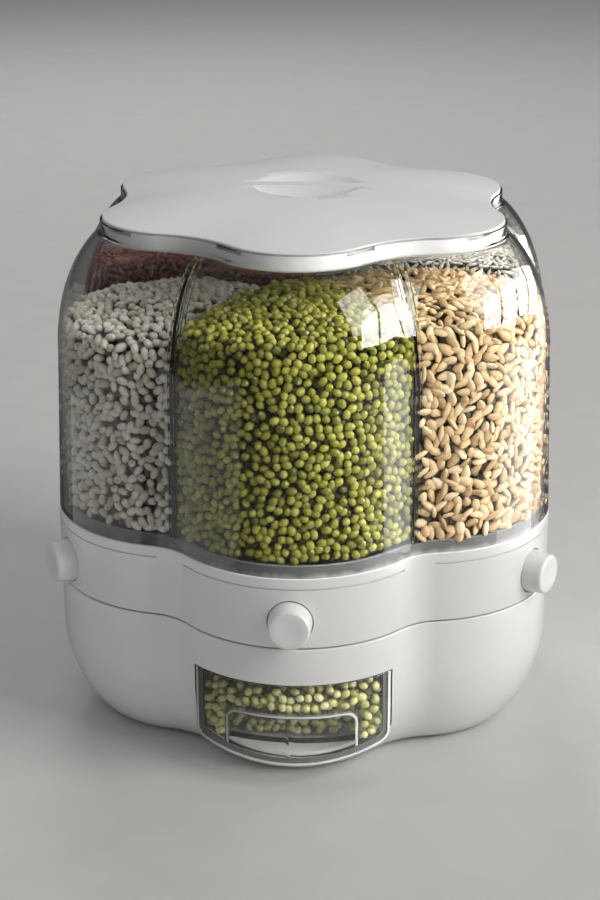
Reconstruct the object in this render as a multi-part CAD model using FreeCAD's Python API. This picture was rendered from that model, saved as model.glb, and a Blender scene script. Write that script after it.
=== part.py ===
import FreeCAD, Part
import math
import os
from FreeCAD import Vector

# Rotating cereal dispenser. Six clear compartments stand on a ring with a push button for each,
# and turn on a base whose front holds a measuring drawer. Pressing a button slides its gate inwards,
# and grain falls from that compartment through the base's chute into the drawer.
# Millimetres. +Z is up, the origin is on the ground under the turning axis, and the front is -Y.
# Azimuth is counted from the front towards +X.

# Outline shared by the base, the ring, the clear shell and the lid, seen from above
lobe_count = 6
crest_radius = 153.5        # axis to the crest of a lobe
lobe_radius = 76.5          # convex arc of a lobe
fillet_radius = 33.5        # concave arc between two lobes

# Every arc of the outline is cut into flat facets, so that its long walls, bowl and shoulder stay light
lobe_facets = 8
fillet_facets = 4

# Heights
base_foot = 1.6             # underside of the base above the ground
base_top = 85.5
seam_gap = 0.9              # turning gap between base and ring
ring_height = 40.6
shell_lap = 8.0             # clear shell inside the ring
tray_rise = 6.0             # rim of the grain tray above the ring
shell_rise = 163.5          # flat top of the clear shell above the ring
skirt_drop = 2.0            # lower edge of the lid below the flat top of the shell
lid_rise = 16.5             # crown of the lid above the flat top of the shell

# How far in from the outline and how high each edge of the base's bowl is, above its foot
bowl_edges = ((24.0, 0.0), (15.5, 6.4), (6.0, 23.4), (0.0, 46.4))
# How far in from its side each edge of the clear shell's shoulder is, and how far below its flat top
shoulder_edges = ((0.0, 65.5), (5.5, 36.5), (13.5, 17.5), (29.5, 0.0))
# How far in from the skirt's lower edge each edge of the lid's side is, and how far above it
lid_edges = ((0.0, 0.0), (1.3, 4.0), (5.2, 8.3))

# Walls
base_wall = 2.6
ring_wall = 1.8
clear_wall = 2.6
tray_wall = 2.4
tray_rim_wall = 2.0
deck_wall = 2.2
rotor_deck_wall = 2.0
lid_wall = 2.4
lid_skirt_wall = 1.5
partition_wall = 2.2
rib_wall = 2.2              # support ribs in the base and in the ring

# Clearances
fit_gap = 0.3               # between pieces that only sit beside each other
seat_gap = 0.1              # between pieces that fit into each other
slide_gap = 0.6             # around the drawer
running_gap = 0.08          # radial, spindle in hub
button_gap = 0.4            # around a button in its hole
gate_gap = 0.4              # gate to tray and deck

# Decks, and what they turn on
rib_reach = 13.2            # support ribs, in from the grooves
foot_length = 22.0
foot_width = 9.0
foot_inset = 38.2           # grooves to the middle of a foot
foot_azimuths = (45.0, 135.0, 225.0, 315.0)
deck_edge_gap = 2.9         # corners of the six-sided decks to the base's wall
deck_gap = 4.3              # base deck to rotor deck
deck_lift = 0.6             # rotor deck above the ring's lower edge
spindle_radius = 8.0
spindle_foot = 6.0          # spindle below the base deck
hub_wall = 4.0
hub_rise = 6.0              # hub above the rotor deck
pad_side = 8.0
pad_circle = 72.0
pad_azimuths = (60.0, 180.0, 300.0)
pivot_shank_radius = 2.5
pivot_head_reach = 10.5     # axis to a flat of the head
pivot_head_height = 2.5
pivot_depth = 12.0

# Outlets and gates
outlet_inset = 44.0         # crest to the middle of an outlet
outlet_depth = 9.0          # along the gate's travel
outlet_width = 36.0
slot_margin = 1.0           # rotor deck's slots around the outlets
gate_travel = 10.0
gate_wall = 2.0
gate_edge = 3.0             # gate beside its hole
gate_lead = 7.3             # gate's inner end, in from the outlet
tongue_inset = 9.8          # crest to the tongue, where the button begins
tongue_height = 18.0
tongue_half_width = 10.0
tongue_wall = 2.0
upstand_half_width = 6.0
rail_width = 2.0
rail_lip = 1.0
rail_lip_wall = 1.2
rail_run = 10.0             # guide rails beyond the outlet
spring_radius = 2.6
spring_bore = 1.9
spring_length = 19.3
spring_sides = 6
spring_stop_wall = 2.0
spring_stop_half_width = 4.0

# Hoppers in the tray, one for each compartment
hopper_inner_slope = 32.0
hopper_side_slope = 35.0
hopper_outer_slope = 50.0
hopper_facet = 40.0         # azimuth between two outer slopes
hub_flat = 11.0             # half width of the flat on the middle of the tray

# Buttons
button_rise = 15.2          # axis of a button above the ring's lower edge
button_radius = 12.3
button_proud = 10.5

# Partitions
hub_radius = 6.0
partition_drop = 12.5       # below the flat top of the shell
channel_drop = 2.0          # channels below the top of the partitions
channel_depth = 6.0
channel_wall = 1.5

# Lid and mouth
lid_overhang = 2.0          # skirt outside the shoulder below it
lid_flat = 35.0             # half width of the flat on the middle of the lid
crown_sides = 12
plug_gap = 1.2
plug_wall = 2.0
plug_depth = 5.0
liner_wall = 1.6
dish_radius = 30.0
dish_depth = 8.0
dish_wall = 2.0
grip_width = 9.0
window_count = 10
window_width = 16.0
window_height = 2.4
window_drop = 1.0           # from the lid's edge down to the top of a window

# Drawer
drawer_half_width = 54.2
drawer_drop = 22.0          # top of the front plate below the base's upper edge
drawer_corner = 21.5        # height of the lower corners
drawer_low = 14.0           # lowest point of the front plate
drawer_corner_round = 5.0
drawer_plate = 2.4
drawer_wall = 2.2
drawer_inset = 3.2          # bin inside the edge of its front plate
drawer_depth = 103.5        # crest to the back of the bin
bin_drop = 1.5              # rim of the bin below the top of its front plate
opening_gap = 0.7
pocket_half_width = 34.5
pocket_top = 42.5
pocket_depth = 23.5         # crest to the back of the finger pocket
pocket_round = 5.0
bay_wall = 2.0
bay_drop = 1.0              # rim of the bay below the top of the drawer
bay_front_cut = 14.0        # bay stops this far inside the crest arc
bay_leg_x = 40.0
bay_leg_width = 2.5
bay_leg_lead = 22.0         # front end of a leg, out from the centre of the front lobe
chute_margin = 8.0          # chute around the outlet, along the gate's travel
chute_side = 6.0            # the same, across it
chute_gap = 2.0             # chute above the drawer
chute_wall = 1.8

# Values worked out from the driving sizes
lobe_step = 360.0 / lobe_count
lobe_centre = crest_radius - lobe_radius
half_step = math.radians(lobe_step / 2)
arc_reach = lobe_radius + fillet_radius
fillet_centre = lobe_centre * math.cos(half_step)
fillet_centre += math.sqrt(arc_reach ** 2 - (lobe_centre * math.sin(half_step)) ** 2)
groove_radius = fillet_centre - fillet_radius
lobe_half_angle = math.degrees(
    math.atan2(fillet_centre * math.sin(half_step), fillet_centre * math.cos(half_step) - lobe_centre)
)
fillet_half_angle = lobe_half_angle - lobe_step / 2

ring_bottom = base_top + seam_gap
ring_top = ring_bottom + ring_height
shell_seat = ring_top - shell_lap
hopper_top = ring_top + tray_rise
mouth_level = ring_top + shell_rise
lid_bottom = mouth_level - skirt_drop
lid_crown = mouth_level + lid_rise
partition_top = mouth_level - partition_drop
channel_top = partition_top - channel_drop
button_height = ring_bottom + button_rise

rotor_deck_bottom = ring_bottom + deck_lift
rotor_deck_top = rotor_deck_bottom + rotor_deck_wall
base_deck_top = rotor_deck_bottom - deck_gap
base_deck_bottom = base_deck_top - deck_wall
deck_corner = crest_radius - base_wall - deck_edge_gap
gate_bottom = rotor_deck_top + gate_gap
gate_top = gate_bottom + gate_wall
tray_low = gate_top + gate_gap
outlet_level = tray_low + tray_wall
hub_top = rotor_deck_top + hub_rise
spindle_top = hub_top + gate_gap
base_floor = base_foot + base_wall

outlet_near = crest_radius - outlet_inset - outlet_depth / 2
outlet_far = outlet_near + outlet_depth
hub_level = outlet_level + math.tan(math.radians(hopper_inner_slope)) * (outlet_near - hub_flat)
gate_half_width = outlet_width / 2 + gate_edge
gate_inner = outlet_near - gate_lead
gate_outer = crest_radius - tongue_inset
rail_reach = outlet_far + rail_run
rib_inner = groove_radius - rib_reach
foot_circle = groove_radius - foot_inset
shell_offset = -(ring_wall + seat_gap)
tray_offset = shell_offset - clear_wall - fit_gap

drawer_top = base_top - drawer_drop
drawer_back = drawer_depth - crest_radius
pocket_back = pocket_depth - crest_radius
chute_half_width = outlet_width / 2 + chute_side
chute_near = outlet_near - chute_margin
chute_far = outlet_far + chute_margin
chute_bottom = drawer_top + chute_gap


def toward(azimuth, distance, height=0.0):
    angle = math.radians(azimuth)
    return Vector(distance * math.sin(angle), -distance * math.cos(angle), height)


def turned(shape, azimuth):
    copy = shape.copy()
    copy.rotate(Vector(0, 0, 0), Vector(0, 0, 1), azimuth)
    return copy


def each_lobe(shape):
    return [turned(shape, i * lobe_step) for i in range(lobe_count)]


def box(x0, x1, y0, y1, z0, z1):
    return Part.makeBox(x1 - x0, y1 - y0, z1 - z0, Vector(x0, y0, z0))


def post(radius, z0, z1, centre=Vector(0, 0, 0)):
    return Part.makeCylinder(radius, z1 - z0, Vector(centre.x, centre.y, z0))


# Corners of one arc, without its last one
def arc_corners(centre, radius, start, end, count, height):
    return [centre + toward(start + (end - start) * k / count, radius, height) for k in range(count)]


def closed(faces):
    sewn = Part.makeCompound(faces)
    sewn.sewShape()
    solid = Part.makeSolid(sewn.Shells[0])
    if solid.Volume < 0:
        solid.reverse()
    return solid


# Corners of the outline moved out by offset
def outline_corners(offset, height):
    corners = []
    for i in range(lobe_count):
        crest = i * lobe_step
        groove = crest + lobe_step / 2
        corners += arc_corners(toward(crest, lobe_centre), lobe_radius + offset,
                               crest - lobe_half_angle, crest + lobe_half_angle, lobe_facets, height)
        inward = groove + 180
        corners += arc_corners(toward(groove, fillet_centre), fillet_radius - offset,
                               inward + fillet_half_angle, inward - fillet_half_angle, fillet_facets, height)
    return corners


# A closed body with flat faces between rings of corners, from the first ring to the last
def faceted(rings):
    faces = [Part.Face(Part.makePolygon(ring + ring[:1])) for ring in (rings[0], rings[-1])]
    for low, high in zip(rings, rings[1:]):
        for k in range(len(low)):
            corners = [low[k - 1], low[k], high[k], high[k - 1], low[k - 1]]
            faces.append(Part.Face(Part.makePolygon(corners)))
    return closed(faces)


def lobed_block(profile):
    return faceted([outline_corners(offset, height) for offset, height in profile])


# A body with equal flat sides at reach from the axis, one facing the front unless it is turned
def flat_sided(sides, levels, turn=0.0):
    step = 360.0 / sides
    rings = []
    for reach, height in levels:
        corner = reach / math.cos(math.radians(step / 2))
        rings.append([toward((k + 0.5) * step + turn, corner, height) for k in range(sides)])
    return faceted(rings)


# The profile moved square to itself by a wall, and run on to the heights low and high
def inset(profile, wall, low, high):
    lines = []
    for (x0, z0), (x1, z1) in zip(profile, profile[1:]):
        lean = (x1 - x0) / (z1 - z0)
        shift = wall * math.hypot(x1 - x0, z1 - z0) / (z1 - z0)
        lines.append((lean, x0 - shift - lean * z0))
    points = [(lines[0][0] * low + lines[0][1], low)]
    for (lean, start), (next_lean, next_start) in zip(lines, lines[1:]):
        height = (next_start - start) / (lean - next_lean)
        points.append((lean * height + start, height))
    points.append((lines[-1][0] * high + lines[-1][1], high))
    return points


def joined(first, others):
    return first.multiFuse(others).removeSplitter()


# Front view of the drawer plate, grown on all sides, carried back from the front
def drawer_prism(grow, back, top=None):
    half = drawer_half_width + grow
    low = drawer_low - grow
    corner = drawer_corner - grow
    high = (drawer_top + grow) if top is None else top
    front = -crest_radius - 20
    left = Vector(-half, front, corner)
    right = Vector(half, front, corner)
    face = Part.Face(Part.Wire([
        Part.makeLine(Vector(-half, front, high), left),
        Part.Arc(left, Vector(0, front, low), right).toShape(),
        Part.makeLine(right, Vector(half, front, high)),
        Part.makeLine(Vector(half, front, high), Vector(-half, front, high)),
    ]))
    prism = face.extrude(Vector(0, back - front, 0))
    long_edges = [e for e in prism.Edges if abs(e.Length - (back - front)) < 0.01]
    low_edges = [e for e in long_edges if e.CenterOfMass.z < corner + 1]
    return prism.makeFillet(drawer_corner_round + min(grow, 0) / 2, low_edges)


# Round body about the front lobe's centre, of the radius of the crest arc less an inset
def front_barrel(inset):
    return post(lobe_radius - inset, -5, base_top, toward(0, lobe_centre))


def base_profile():
    return [(-inward, base_foot + height) for inward, height in bowl_edges] + [(0.0, base_top)]


def shell_profile():
    shoulder = [(shell_offset - inward, mouth_level - drop) for inward, drop in shoulder_edges]
    return [(shell_offset, shell_seat)] + shoulder


# Upright rib at each groove, reaching in from the wall
def groove_ribs(low, high):
    rib = box(-rib_wall / 2, rib_wall / 2, -crest_radius, -rib_inner, low, high)
    return each_lobe(turned(rib, lobe_step / 2))


def base_housing():
    outer = lobed_block(base_profile())
    hollow = lobed_block(inset(base_profile(), base_wall, base_floor, base_top + 1))
    ribs = [rib.common(outer) for rib in groove_ribs(base_foot, base_deck_bottom)]
    return joined(outer.cut(hollow), ribs).cut(drawer_prism(opening_gap, -lobe_centre))


def rubber_feet():
    foot = box(-foot_length / 2, foot_length / 2, -foot_circle - foot_width / 2, -foot_circle + foot_width / 2,
               0, base_foot)
    return Part.makeCompound([turned(foot, azimuth) for azimuth in foot_azimuths])


def deck_plate(low, high):
    reach = deck_corner * math.cos(half_step)
    return flat_sided(lobe_count, [(reach, low), (reach, high)], lobe_step / 2)


def base_deck():
    chute = box(-chute_half_width - chute_wall, chute_half_width + chute_wall, -chute_far - chute_wall,
                -chute_near + chute_wall, chute_bottom, base_deck_top)
    spindle = post(spindle_radius, base_deck_bottom - spindle_foot, spindle_top)
    deck = joined(deck_plate(base_deck_bottom, base_deck_top), [spindle, chute])
    return deck.cut([
        box(-chute_half_width, chute_half_width, -chute_far, -chute_near, chute_bottom - 1, base_deck_top + 1),
        post(pivot_shank_radius + running_gap, spindle_top - pivot_depth, spindle_top + 1),
    ])


def glide_pads():
    half = pad_side / 2
    pad = box(-half, half, -pad_circle - half, -pad_circle + half, base_deck_top, rotor_deck_bottom - fit_gap)
    return Part.makeCompound([turned(pad, azimuth) for azimuth in pad_azimuths])


def pivot_screw():
    shank = post(pivot_shank_radius, spindle_top - pivot_depth + 1, spindle_top)
    head = flat_sided(6, [(pivot_head_reach, spindle_top), (pivot_head_reach, spindle_top + pivot_head_height)])
    return shank.fuse(head)


def drawer_bay():
    inner = slide_gap - drawer_inset
    back = drawer_back + fit_gap
    body = drawer_prism(inner + bay_wall, back + bay_wall, drawer_top - bay_drop)
    body = body.cut(drawer_prism(inner, back, drawer_top))
    body = body.common(front_barrel(bay_front_cut))
    legs = []
    for x in (-bay_leg_x, bay_leg_x):
        leg = box(x - bay_leg_width / 2, x + bay_leg_width / 2, -lobe_centre - bay_leg_lead, back + bay_wall,
                  base_floor, drawer_corner)
        legs.append(leg.cut(drawer_prism(inner + bay_wall / 2, back + bay_wall + 1)))
    return joined(body, legs)


def drawer_bin():
    plate = drawer_prism(0, -lobe_centre).common(front_barrel(0).cut(front_barrel(drawer_plate)))
    tub = drawer_prism(-drawer_inset, drawer_back, drawer_top - bin_drop).common(front_barrel(drawer_plate / 2))
    hollow = drawer_prism(-drawer_inset - drawer_wall, drawer_back - drawer_wall, drawer_top + 5)
    hollow = hollow.common(front_barrel(drawer_plate))
    pocket = finger_pocket(0)
    liner = finger_pocket(drawer_wall).common(tub)
    shell = tub.cut(hollow)
    return joined(plate, [shell, liner]).cut(pocket)


# Space behind the lower part of the drawer's front plate, open below for the fingers
def finger_pocket(grow):
    half = pocket_half_width + grow
    front = -crest_radius - 5
    back = pocket_back + grow
    space = box(-half, half, front, back, 0, pocket_top + grow)
    long_edges = [e for e in space.Edges if abs(e.Length - (back - front)) < 0.01]
    top_edges = [e for e in long_edges if e.CenterOfMass.z > pocket_top / 2]
    return space.makeFillet(pocket_round + grow, top_edges).common(front_barrel(drawer_plate - grow / 4))


def rotor_deck():
    rail_inner = gate_half_width + fit_gap
    rail_start = gate_inner - spring_length - fit_gap
    rail_top = gate_top + fit_gap + rail_lip_wall
    low = rotor_deck_top - 1
    adds = [post(spindle_radius + hub_wall, rotor_deck_bottom, hub_top)]
    guides = [box(-spring_stop_half_width, spring_stop_half_width, -rail_start, -rail_start + spring_stop_wall,
                  low, gate_bottom + 2 * spring_radius + 1)]
    for side in (-1, 1):
        wall = sorted((side * rail_inner, side * (rail_inner + rail_width)))
        lip = sorted((side * (rail_inner - rail_lip), side * (rail_inner + rail_width)))
        guides.append(box(wall[0], wall[1], -rail_reach, -rail_start, low, rail_top))
        guides.append(box(lip[0], lip[1], -rail_reach, -rail_start, gate_top + fit_gap, rail_top))
    for part in guides:
        adds += each_lobe(part)
    deck = joined(deck_plate(rotor_deck_bottom, rotor_deck_top), adds)
    half = outlet_width / 2 + slot_margin
    slot = box(-half, half, -outlet_far - slot_margin, -outlet_near + slot_margin,
               rotor_deck_bottom - 1, rotor_deck_top + 1)
    bore = post(spindle_radius + running_gap, rotor_deck_bottom - 1, hub_top + 1)
    return deck.cut(each_lobe(slot) + [bore])


# Round body along the front lobe's direction at the height of the buttons
def button_bore(radius, near, far):
    return Part.makeCylinder(radius, far - near, Vector(0, -near, button_height), Vector(0, -1, 0))


def button_ring():
    body = lobed_block([(0, ring_bottom), (0, ring_top)])
    hollow = lobed_block([(-ring_wall, ring_bottom - 1), (-ring_wall, ring_top + 1)])
    ribs = [rib.common(body) for rib in groove_ribs(rotor_deck_top, shell_seat)]
    bore = button_bore(button_radius + button_gap, crest_radius - 3 * ring_wall, crest_radius + 5)
    return joined(body.cut(hollow), ribs).cut(each_lobe(bore))


# Everything at or above a plane that rises along one direction from a line at outlet level
def above_slope(azimuth, distance, centre, slope):
    size = 4 * crest_radius
    half = Part.makeBox(2 * size, 2 * size, size, Vector(-size, -size, 0))
    half.rotate(Vector(0, 0, 0), Vector(1, 0, 0), -slope)
    half.rotate(Vector(0, 0, 0), Vector(0, 0, 1), azimuth)
    half.translate(centre + toward(azimuth, distance, outlet_level))
    return half


def hopper_space():
    reach = 1.3 * crest_radius
    half_width = reach * math.tan(half_step)
    wedge = Part.Face(Part.makePolygon([
        Vector(0, 0, outlet_level),
        Vector(half_width, -reach, outlet_level),
        Vector(-half_width, -reach, outlet_level),
        Vector(0, 0, outlet_level),
    ])).extrude(Vector(0, 0, mouth_level - outlet_level))
    axis = Vector(0, 0, 0)
    space = wedge.common(above_slope(180, -outlet_near, axis, hopper_inner_slope))
    for side in (-1, 1):
        space = space.common(above_slope(side * 90, outlet_width / 2, axis, hopper_side_slope))
    lobe = toward(0, lobe_centre)
    throat = outlet_far - lobe_centre
    for side in (-1, 0, 1):
        space = space.common(above_slope(side * hopper_facet, throat, lobe, hopper_outer_slope))
    return space


# Solid below the surface that the grain lies on, raised by lift
def grain_bed(lift=0.0):
    bed = lobed_block([(tray_offset, base_deck_top), (tray_offset, hopper_top)])
    hill = flat_sided(lobe_count, [(outlet_near, outlet_level), (hub_flat, hub_level)])
    bed = bed.fuse(hill).cut(each_lobe(hopper_space()))
    bed.translate(Vector(0, 0, lift))
    return bed


def funnel_tray():
    bed = grain_bed()
    skin = bed.cut(grain_bed(-tray_wall))
    rim = lobed_block([(tray_offset, shell_seat), (tray_offset, hopper_top)])
    inside = tray_offset - tray_rim_wall
    rim = rim.cut(lobed_block([(inside, shell_seat - 1), (inside, hopper_top + 1)]))
    outlet = box(-outlet_width / 2, outlet_width / 2, -outlet_far, -outlet_near, tray_low - 1, outlet_level + 1)
    return joined(skin, [rim]).cut(each_lobe(outlet))


def partition_star():
    gap = clear_wall + fit_gap
    edge = inset(shell_profile(), gap, tray_low, partition_top)
    side = [Vector(0, -(groove_radius + offset), height) for offset, height in edge]
    corners = [Vector(0, 0, tray_low)] + side + [Vector(0, 0, partition_top)]
    wing = Part.Face(Part.makePolygon(corners + corners[:1])).extrude(Vector(partition_wall, 0, 0))
    wing.translate(Vector(-partition_wall / 2, 0, 0))
    wings = each_lobe(turned(wing, lobe_step / 2))
    return joined(post(hub_radius, tray_low, partition_top), wings).cut(grain_bed(fit_gap))


def container_shell():
    body = lobed_block(shell_profile())
    inner = inset(shell_profile(), clear_wall, shell_seat - 1, mouth_level)
    hollow = lobed_block(inner + [(inner[-1][0], mouth_level + 1)])
    deep = clear_wall + channel_depth
    core = lobed_block(inset(shell_profile(), deep, shell_seat, mouth_level - deep))
    gap = partition_wall / 2 + fit_gap
    ribs = []
    for side in (-1, 1):
        edge = sorted((side * gap, side * (gap + channel_wall)))
        rib = box(edge[0], edge[1], -crest_radius, -groove_radius / 2, hopper_top + fit_gap, channel_top)
        ribs += each_lobe(turned(rib, lobe_step / 2).common(body).cut(core))
    return joined(body.cut(hollow), ribs)


# Side of the lid, whose skirt stands just outside the shoulder of the clear shell
def lid_profile():
    (low_in, low_drop), (high_in, high_drop) = shoulder_edges[-2:]
    shoulder_in = low_in + (high_in - low_in) * (low_drop - skirt_drop) / (low_drop - high_drop)
    skirt = shell_offset - shoulder_in + lid_overhang
    return [(skirt - inward, lid_bottom + height) for inward, height in lid_edges]


# Side of the lid's plug, which stands inside the mouth
def plug_offset():
    return inset(shell_profile(), clear_wall, shell_seat, mouth_level)[-1][0] - plug_gap


# Space under the crowned top of the lid, lowered by drop
def under_crown(drop):
    edge_offset, edge_level = lid_profile()[-1]
    edge = crest_radius + edge_offset
    slope = (lid_crown - edge_level) / (edge - lid_flat)
    reach = crest_radius + 20
    levels = [(reach, lid_bottom - 20), (reach, lid_crown - slope * (reach - lid_flat)), (lid_flat, lid_crown)]
    return flat_sided(crown_sides, [(near, height - drop) for near, height in levels])


def lid_cover():
    sides = lid_profile()
    edge_offset, edge_level = sides[-1]
    body = lobed_block(sides + [(edge_offset, lid_crown + 1)]).common(under_crown(0))
    inner = inset(sides, lid_skirt_wall, lid_bottom - 1, edge_level)
    hollow = lobed_block(inner + [(inner[-1][0], lid_crown)]).common(under_crown(lid_wall))
    floor = lid_crown - dish_depth
    bulge = post(dish_radius + dish_wall, floor - dish_wall, lid_crown - 1)
    bar = box(-dish_radius - 5, dish_radius + 5, -grip_width / 2, grip_width / 2, floor - 1, lid_crown + 2)
    dish = post(dish_radius, floor, lid_crown + 1).cut(bar)
    return joined(body.cut(hollow), [bulge]).cut([dish] + lid_windows())


def lid_windows():
    top = lid_profile()[-1][1] - window_drop
    window = box(-window_width / 2, window_width / 2, -crest_radius, 0, top - window_height, top)
    inside = lobed_block([(plug_offset(), lid_bottom), (plug_offset(), lid_crown)])
    return [turned(window.cut(inside), (i + 0.5) * 360.0 / window_count) for i in range(window_count)]


def lid_liner():
    plug = plug_offset()
    low = mouth_level - plug_depth
    hollow = lobed_block([(plug - plug_wall, low + liner_wall), (plug - plug_wall, lid_crown + 1)])
    return lobed_block([(plug, low), (plug, lid_crown)]).cut(hollow).common(under_crown(lid_wall))


def button():
    return button_bore(button_radius, gate_outer, crest_radius + button_proud)


def gate():
    plate = box(-gate_half_width, gate_half_width, -gate_outer, -gate_inner, gate_bottom, gate_top)
    rest = outlet_near + gate_travel
    hole = box(-outlet_width / 2, outlet_width / 2, -rest - outlet_depth, -rest, gate_bottom - 1, gate_top + 1)
    upstand = box(-upstand_half_width, upstand_half_width, -gate_inner - gate_wall, -gate_inner,
                  gate_bottom, gate_bottom + 2 * (spring_radius + seat_gap))
    tongue = box(-tongue_half_width, tongue_half_width, -gate_outer, -gate_outer + tongue_wall, gate_bottom,
                 gate_bottom + tongue_height + gate_wall)
    return joined(plate.cut(hole), [upstand, tongue])


def spring():
    axis_height = gate_bottom + spring_radius + seat_gap
    start = gate_inner - fit_gap / 2
    faces = []
    for radius in (spring_radius, spring_bore):
        points = []
        for k in range(spring_sides):
            angle = 2 * math.pi * (k + 0.5) / spring_sides
            points.append(Vector(radius * math.cos(angle), -start, axis_height + radius * math.sin(angle)))
        faces.append(Part.Face(Part.makePolygon(points + points[:1])))
    return faces[0].cut(faces[1]).extrude(Vector(0, spring_length, 0))


def save(name, shape):
    shape.exportStep(os.path.join("parts", name + ".step"))
    print(name, shape.isValid(), len(shape.Solids), round(shape.Volume))


os.makedirs("parts", exist_ok=True)
save("base_housing", base_housing())
save("rubber_feet", rubber_feet())
save("base_deck", base_deck())
save("glide_pads", glide_pads())
save("pivot_screw", pivot_screw())
save("drawer_bay", drawer_bay())
save("drawer_bin", drawer_bin())
save("rotor_deck", rotor_deck())
save("button_ring", button_ring())
save("funnel_tray", funnel_tray())
save("partition_star", partition_star())
save("container_shell", container_shell())
save("lid_cover", lid_cover())
save("lid_liner", lid_liner())
for i in range(lobe_count):
    save("button_%d" % (i + 1), turned(button(), i * lobe_step))
    save("gate_%d" % (i + 1), turned(gate(), i * lobe_step))
    save("spring_%d" % (i + 1), turned(spring(), i * lobe_step))
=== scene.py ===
import math
from random import Random

import bmesh
import bpy
from mathutils import Euler, Matrix, Vector


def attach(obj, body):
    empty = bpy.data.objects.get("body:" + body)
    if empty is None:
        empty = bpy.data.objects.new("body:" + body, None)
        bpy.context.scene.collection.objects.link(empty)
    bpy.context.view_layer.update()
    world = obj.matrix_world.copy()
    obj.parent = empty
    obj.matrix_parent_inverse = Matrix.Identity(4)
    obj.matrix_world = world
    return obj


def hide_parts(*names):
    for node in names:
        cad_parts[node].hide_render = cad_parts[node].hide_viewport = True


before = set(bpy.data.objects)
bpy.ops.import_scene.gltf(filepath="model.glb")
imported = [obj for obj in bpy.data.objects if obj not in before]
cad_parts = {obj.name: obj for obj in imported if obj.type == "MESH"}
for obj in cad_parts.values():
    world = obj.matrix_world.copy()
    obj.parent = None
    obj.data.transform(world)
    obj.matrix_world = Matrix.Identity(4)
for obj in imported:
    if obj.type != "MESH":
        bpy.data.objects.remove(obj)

scene = bpy.context.scene
mm = 0.001
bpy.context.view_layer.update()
print("stage: frame loaded")

# Lobed outline that the base, ring, clear shell and lid share, in millimetres
outline = {
    "lobes": 6,
    "crestRadius": 153.5,
    "lobeRadius": 76.5,
    "filletRadius": 33.5,
    "lobeSteps": 30,
    "filletSteps": 10,
}
lobeStep = 360 / outline["lobes"]
halfStep = math.radians(lobeStep / 2)
lobeCentre = outline["crestRadius"] - outline["lobeRadius"]
arcReach = outline["lobeRadius"] + outline["filletRadius"]
filletCentre = lobeCentre * math.cos(halfStep) + math.sqrt(arcReach ** 2 - (lobeCentre * math.sin(halfStep)) ** 2)
grooveRadius = filletCentre - outline["filletRadius"]
lobeHalf = math.degrees(
    math.atan2(filletCentre * math.sin(halfStep), filletCentre * math.cos(halfStep) - lobeCentre)
)
filletHalf = lobeHalf - lobeStep / 2


def toward(azimuth, distance, height=0.0):  # azimuth from the front (-Y) towards +X
    angle = math.radians(azimuth)
    return Vector((distance * math.sin(angle), -distance * math.cos(angle), height)) * mm


def rounded(points, closed=False, segments=4):  # (across, height, radius) corners to a smooth path
    path = []
    last = len(points) - 1
    for i, (across, height, radius) in enumerate(points):
        corner = Vector((across, height))
        if radius == 0 or (not closed and i in (0, last)):
            path.append(corner[:])
            continue
        back = (Vector(points[i - 1][:2]) - corner).normalized()
        ahead = (Vector(points[(i + 1) % len(points)][:2]) - corner).normalized()
        half = back.angle(ahead) / 2
        start = back * (radius / math.tan(half))
        end = ahead * (radius / math.tan(half))
        centre = (back + ahead).normalized() * (radius / math.sin(half))
        for k in range(segments + 1):
            spoke = (start - centre).lerp(end - centre, k / segments).normalized() * radius
            path.append((corner + centre + spoke)[:])
    return path


def finished(name, bm, sharp=35, recalculate=True):
    if recalculate:
        bmesh.ops.recalc_face_normals(bm, faces=bm.faces[:])
    mesh = bpy.data.meshes.new(name)
    bm.to_mesh(mesh)
    bm.free()
    mesh.polygons.foreach_set("use_smooth", [True] * len(mesh.polygons))
    mesh.set_sharp_from_angle(angle=math.radians(sharp))
    piece = bpy.data.objects.new(name, mesh)
    scene.collection.objects.link(piece)
    return piece


def baked(piece, sharp=35):  # live modifiers applied to the mesh
    bpy.context.view_layer.update()
    graph = bpy.context.evaluated_depsgraph_get()
    mesh = bpy.data.meshes.new_from_object(piece.evaluated_get(graph))
    piece.modifiers.clear()
    old = piece.data
    piece.data = mesh
    bpy.data.meshes.remove(old)
    mesh.name = piece.name
    mesh.polygons.foreach_set("use_smooth", [True] * len(mesh.polygons))
    mesh.set_sharp_from_angle(angle=math.radians(sharp))
    return piece


def carved(piece, *cutters, how="DIFFERENCE"):
    for cutter in cutters:
        cut = piece.modifiers.new("cut", "BOOLEAN")
        cut.operation = how
        cut.solver = "EXACT"
        cut.object = cutter
    baked(piece)
    for cutter in cutters:
        old = cutter.data
        bpy.data.objects.remove(cutter)
        bpy.data.meshes.remove(old)
    return piece


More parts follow.
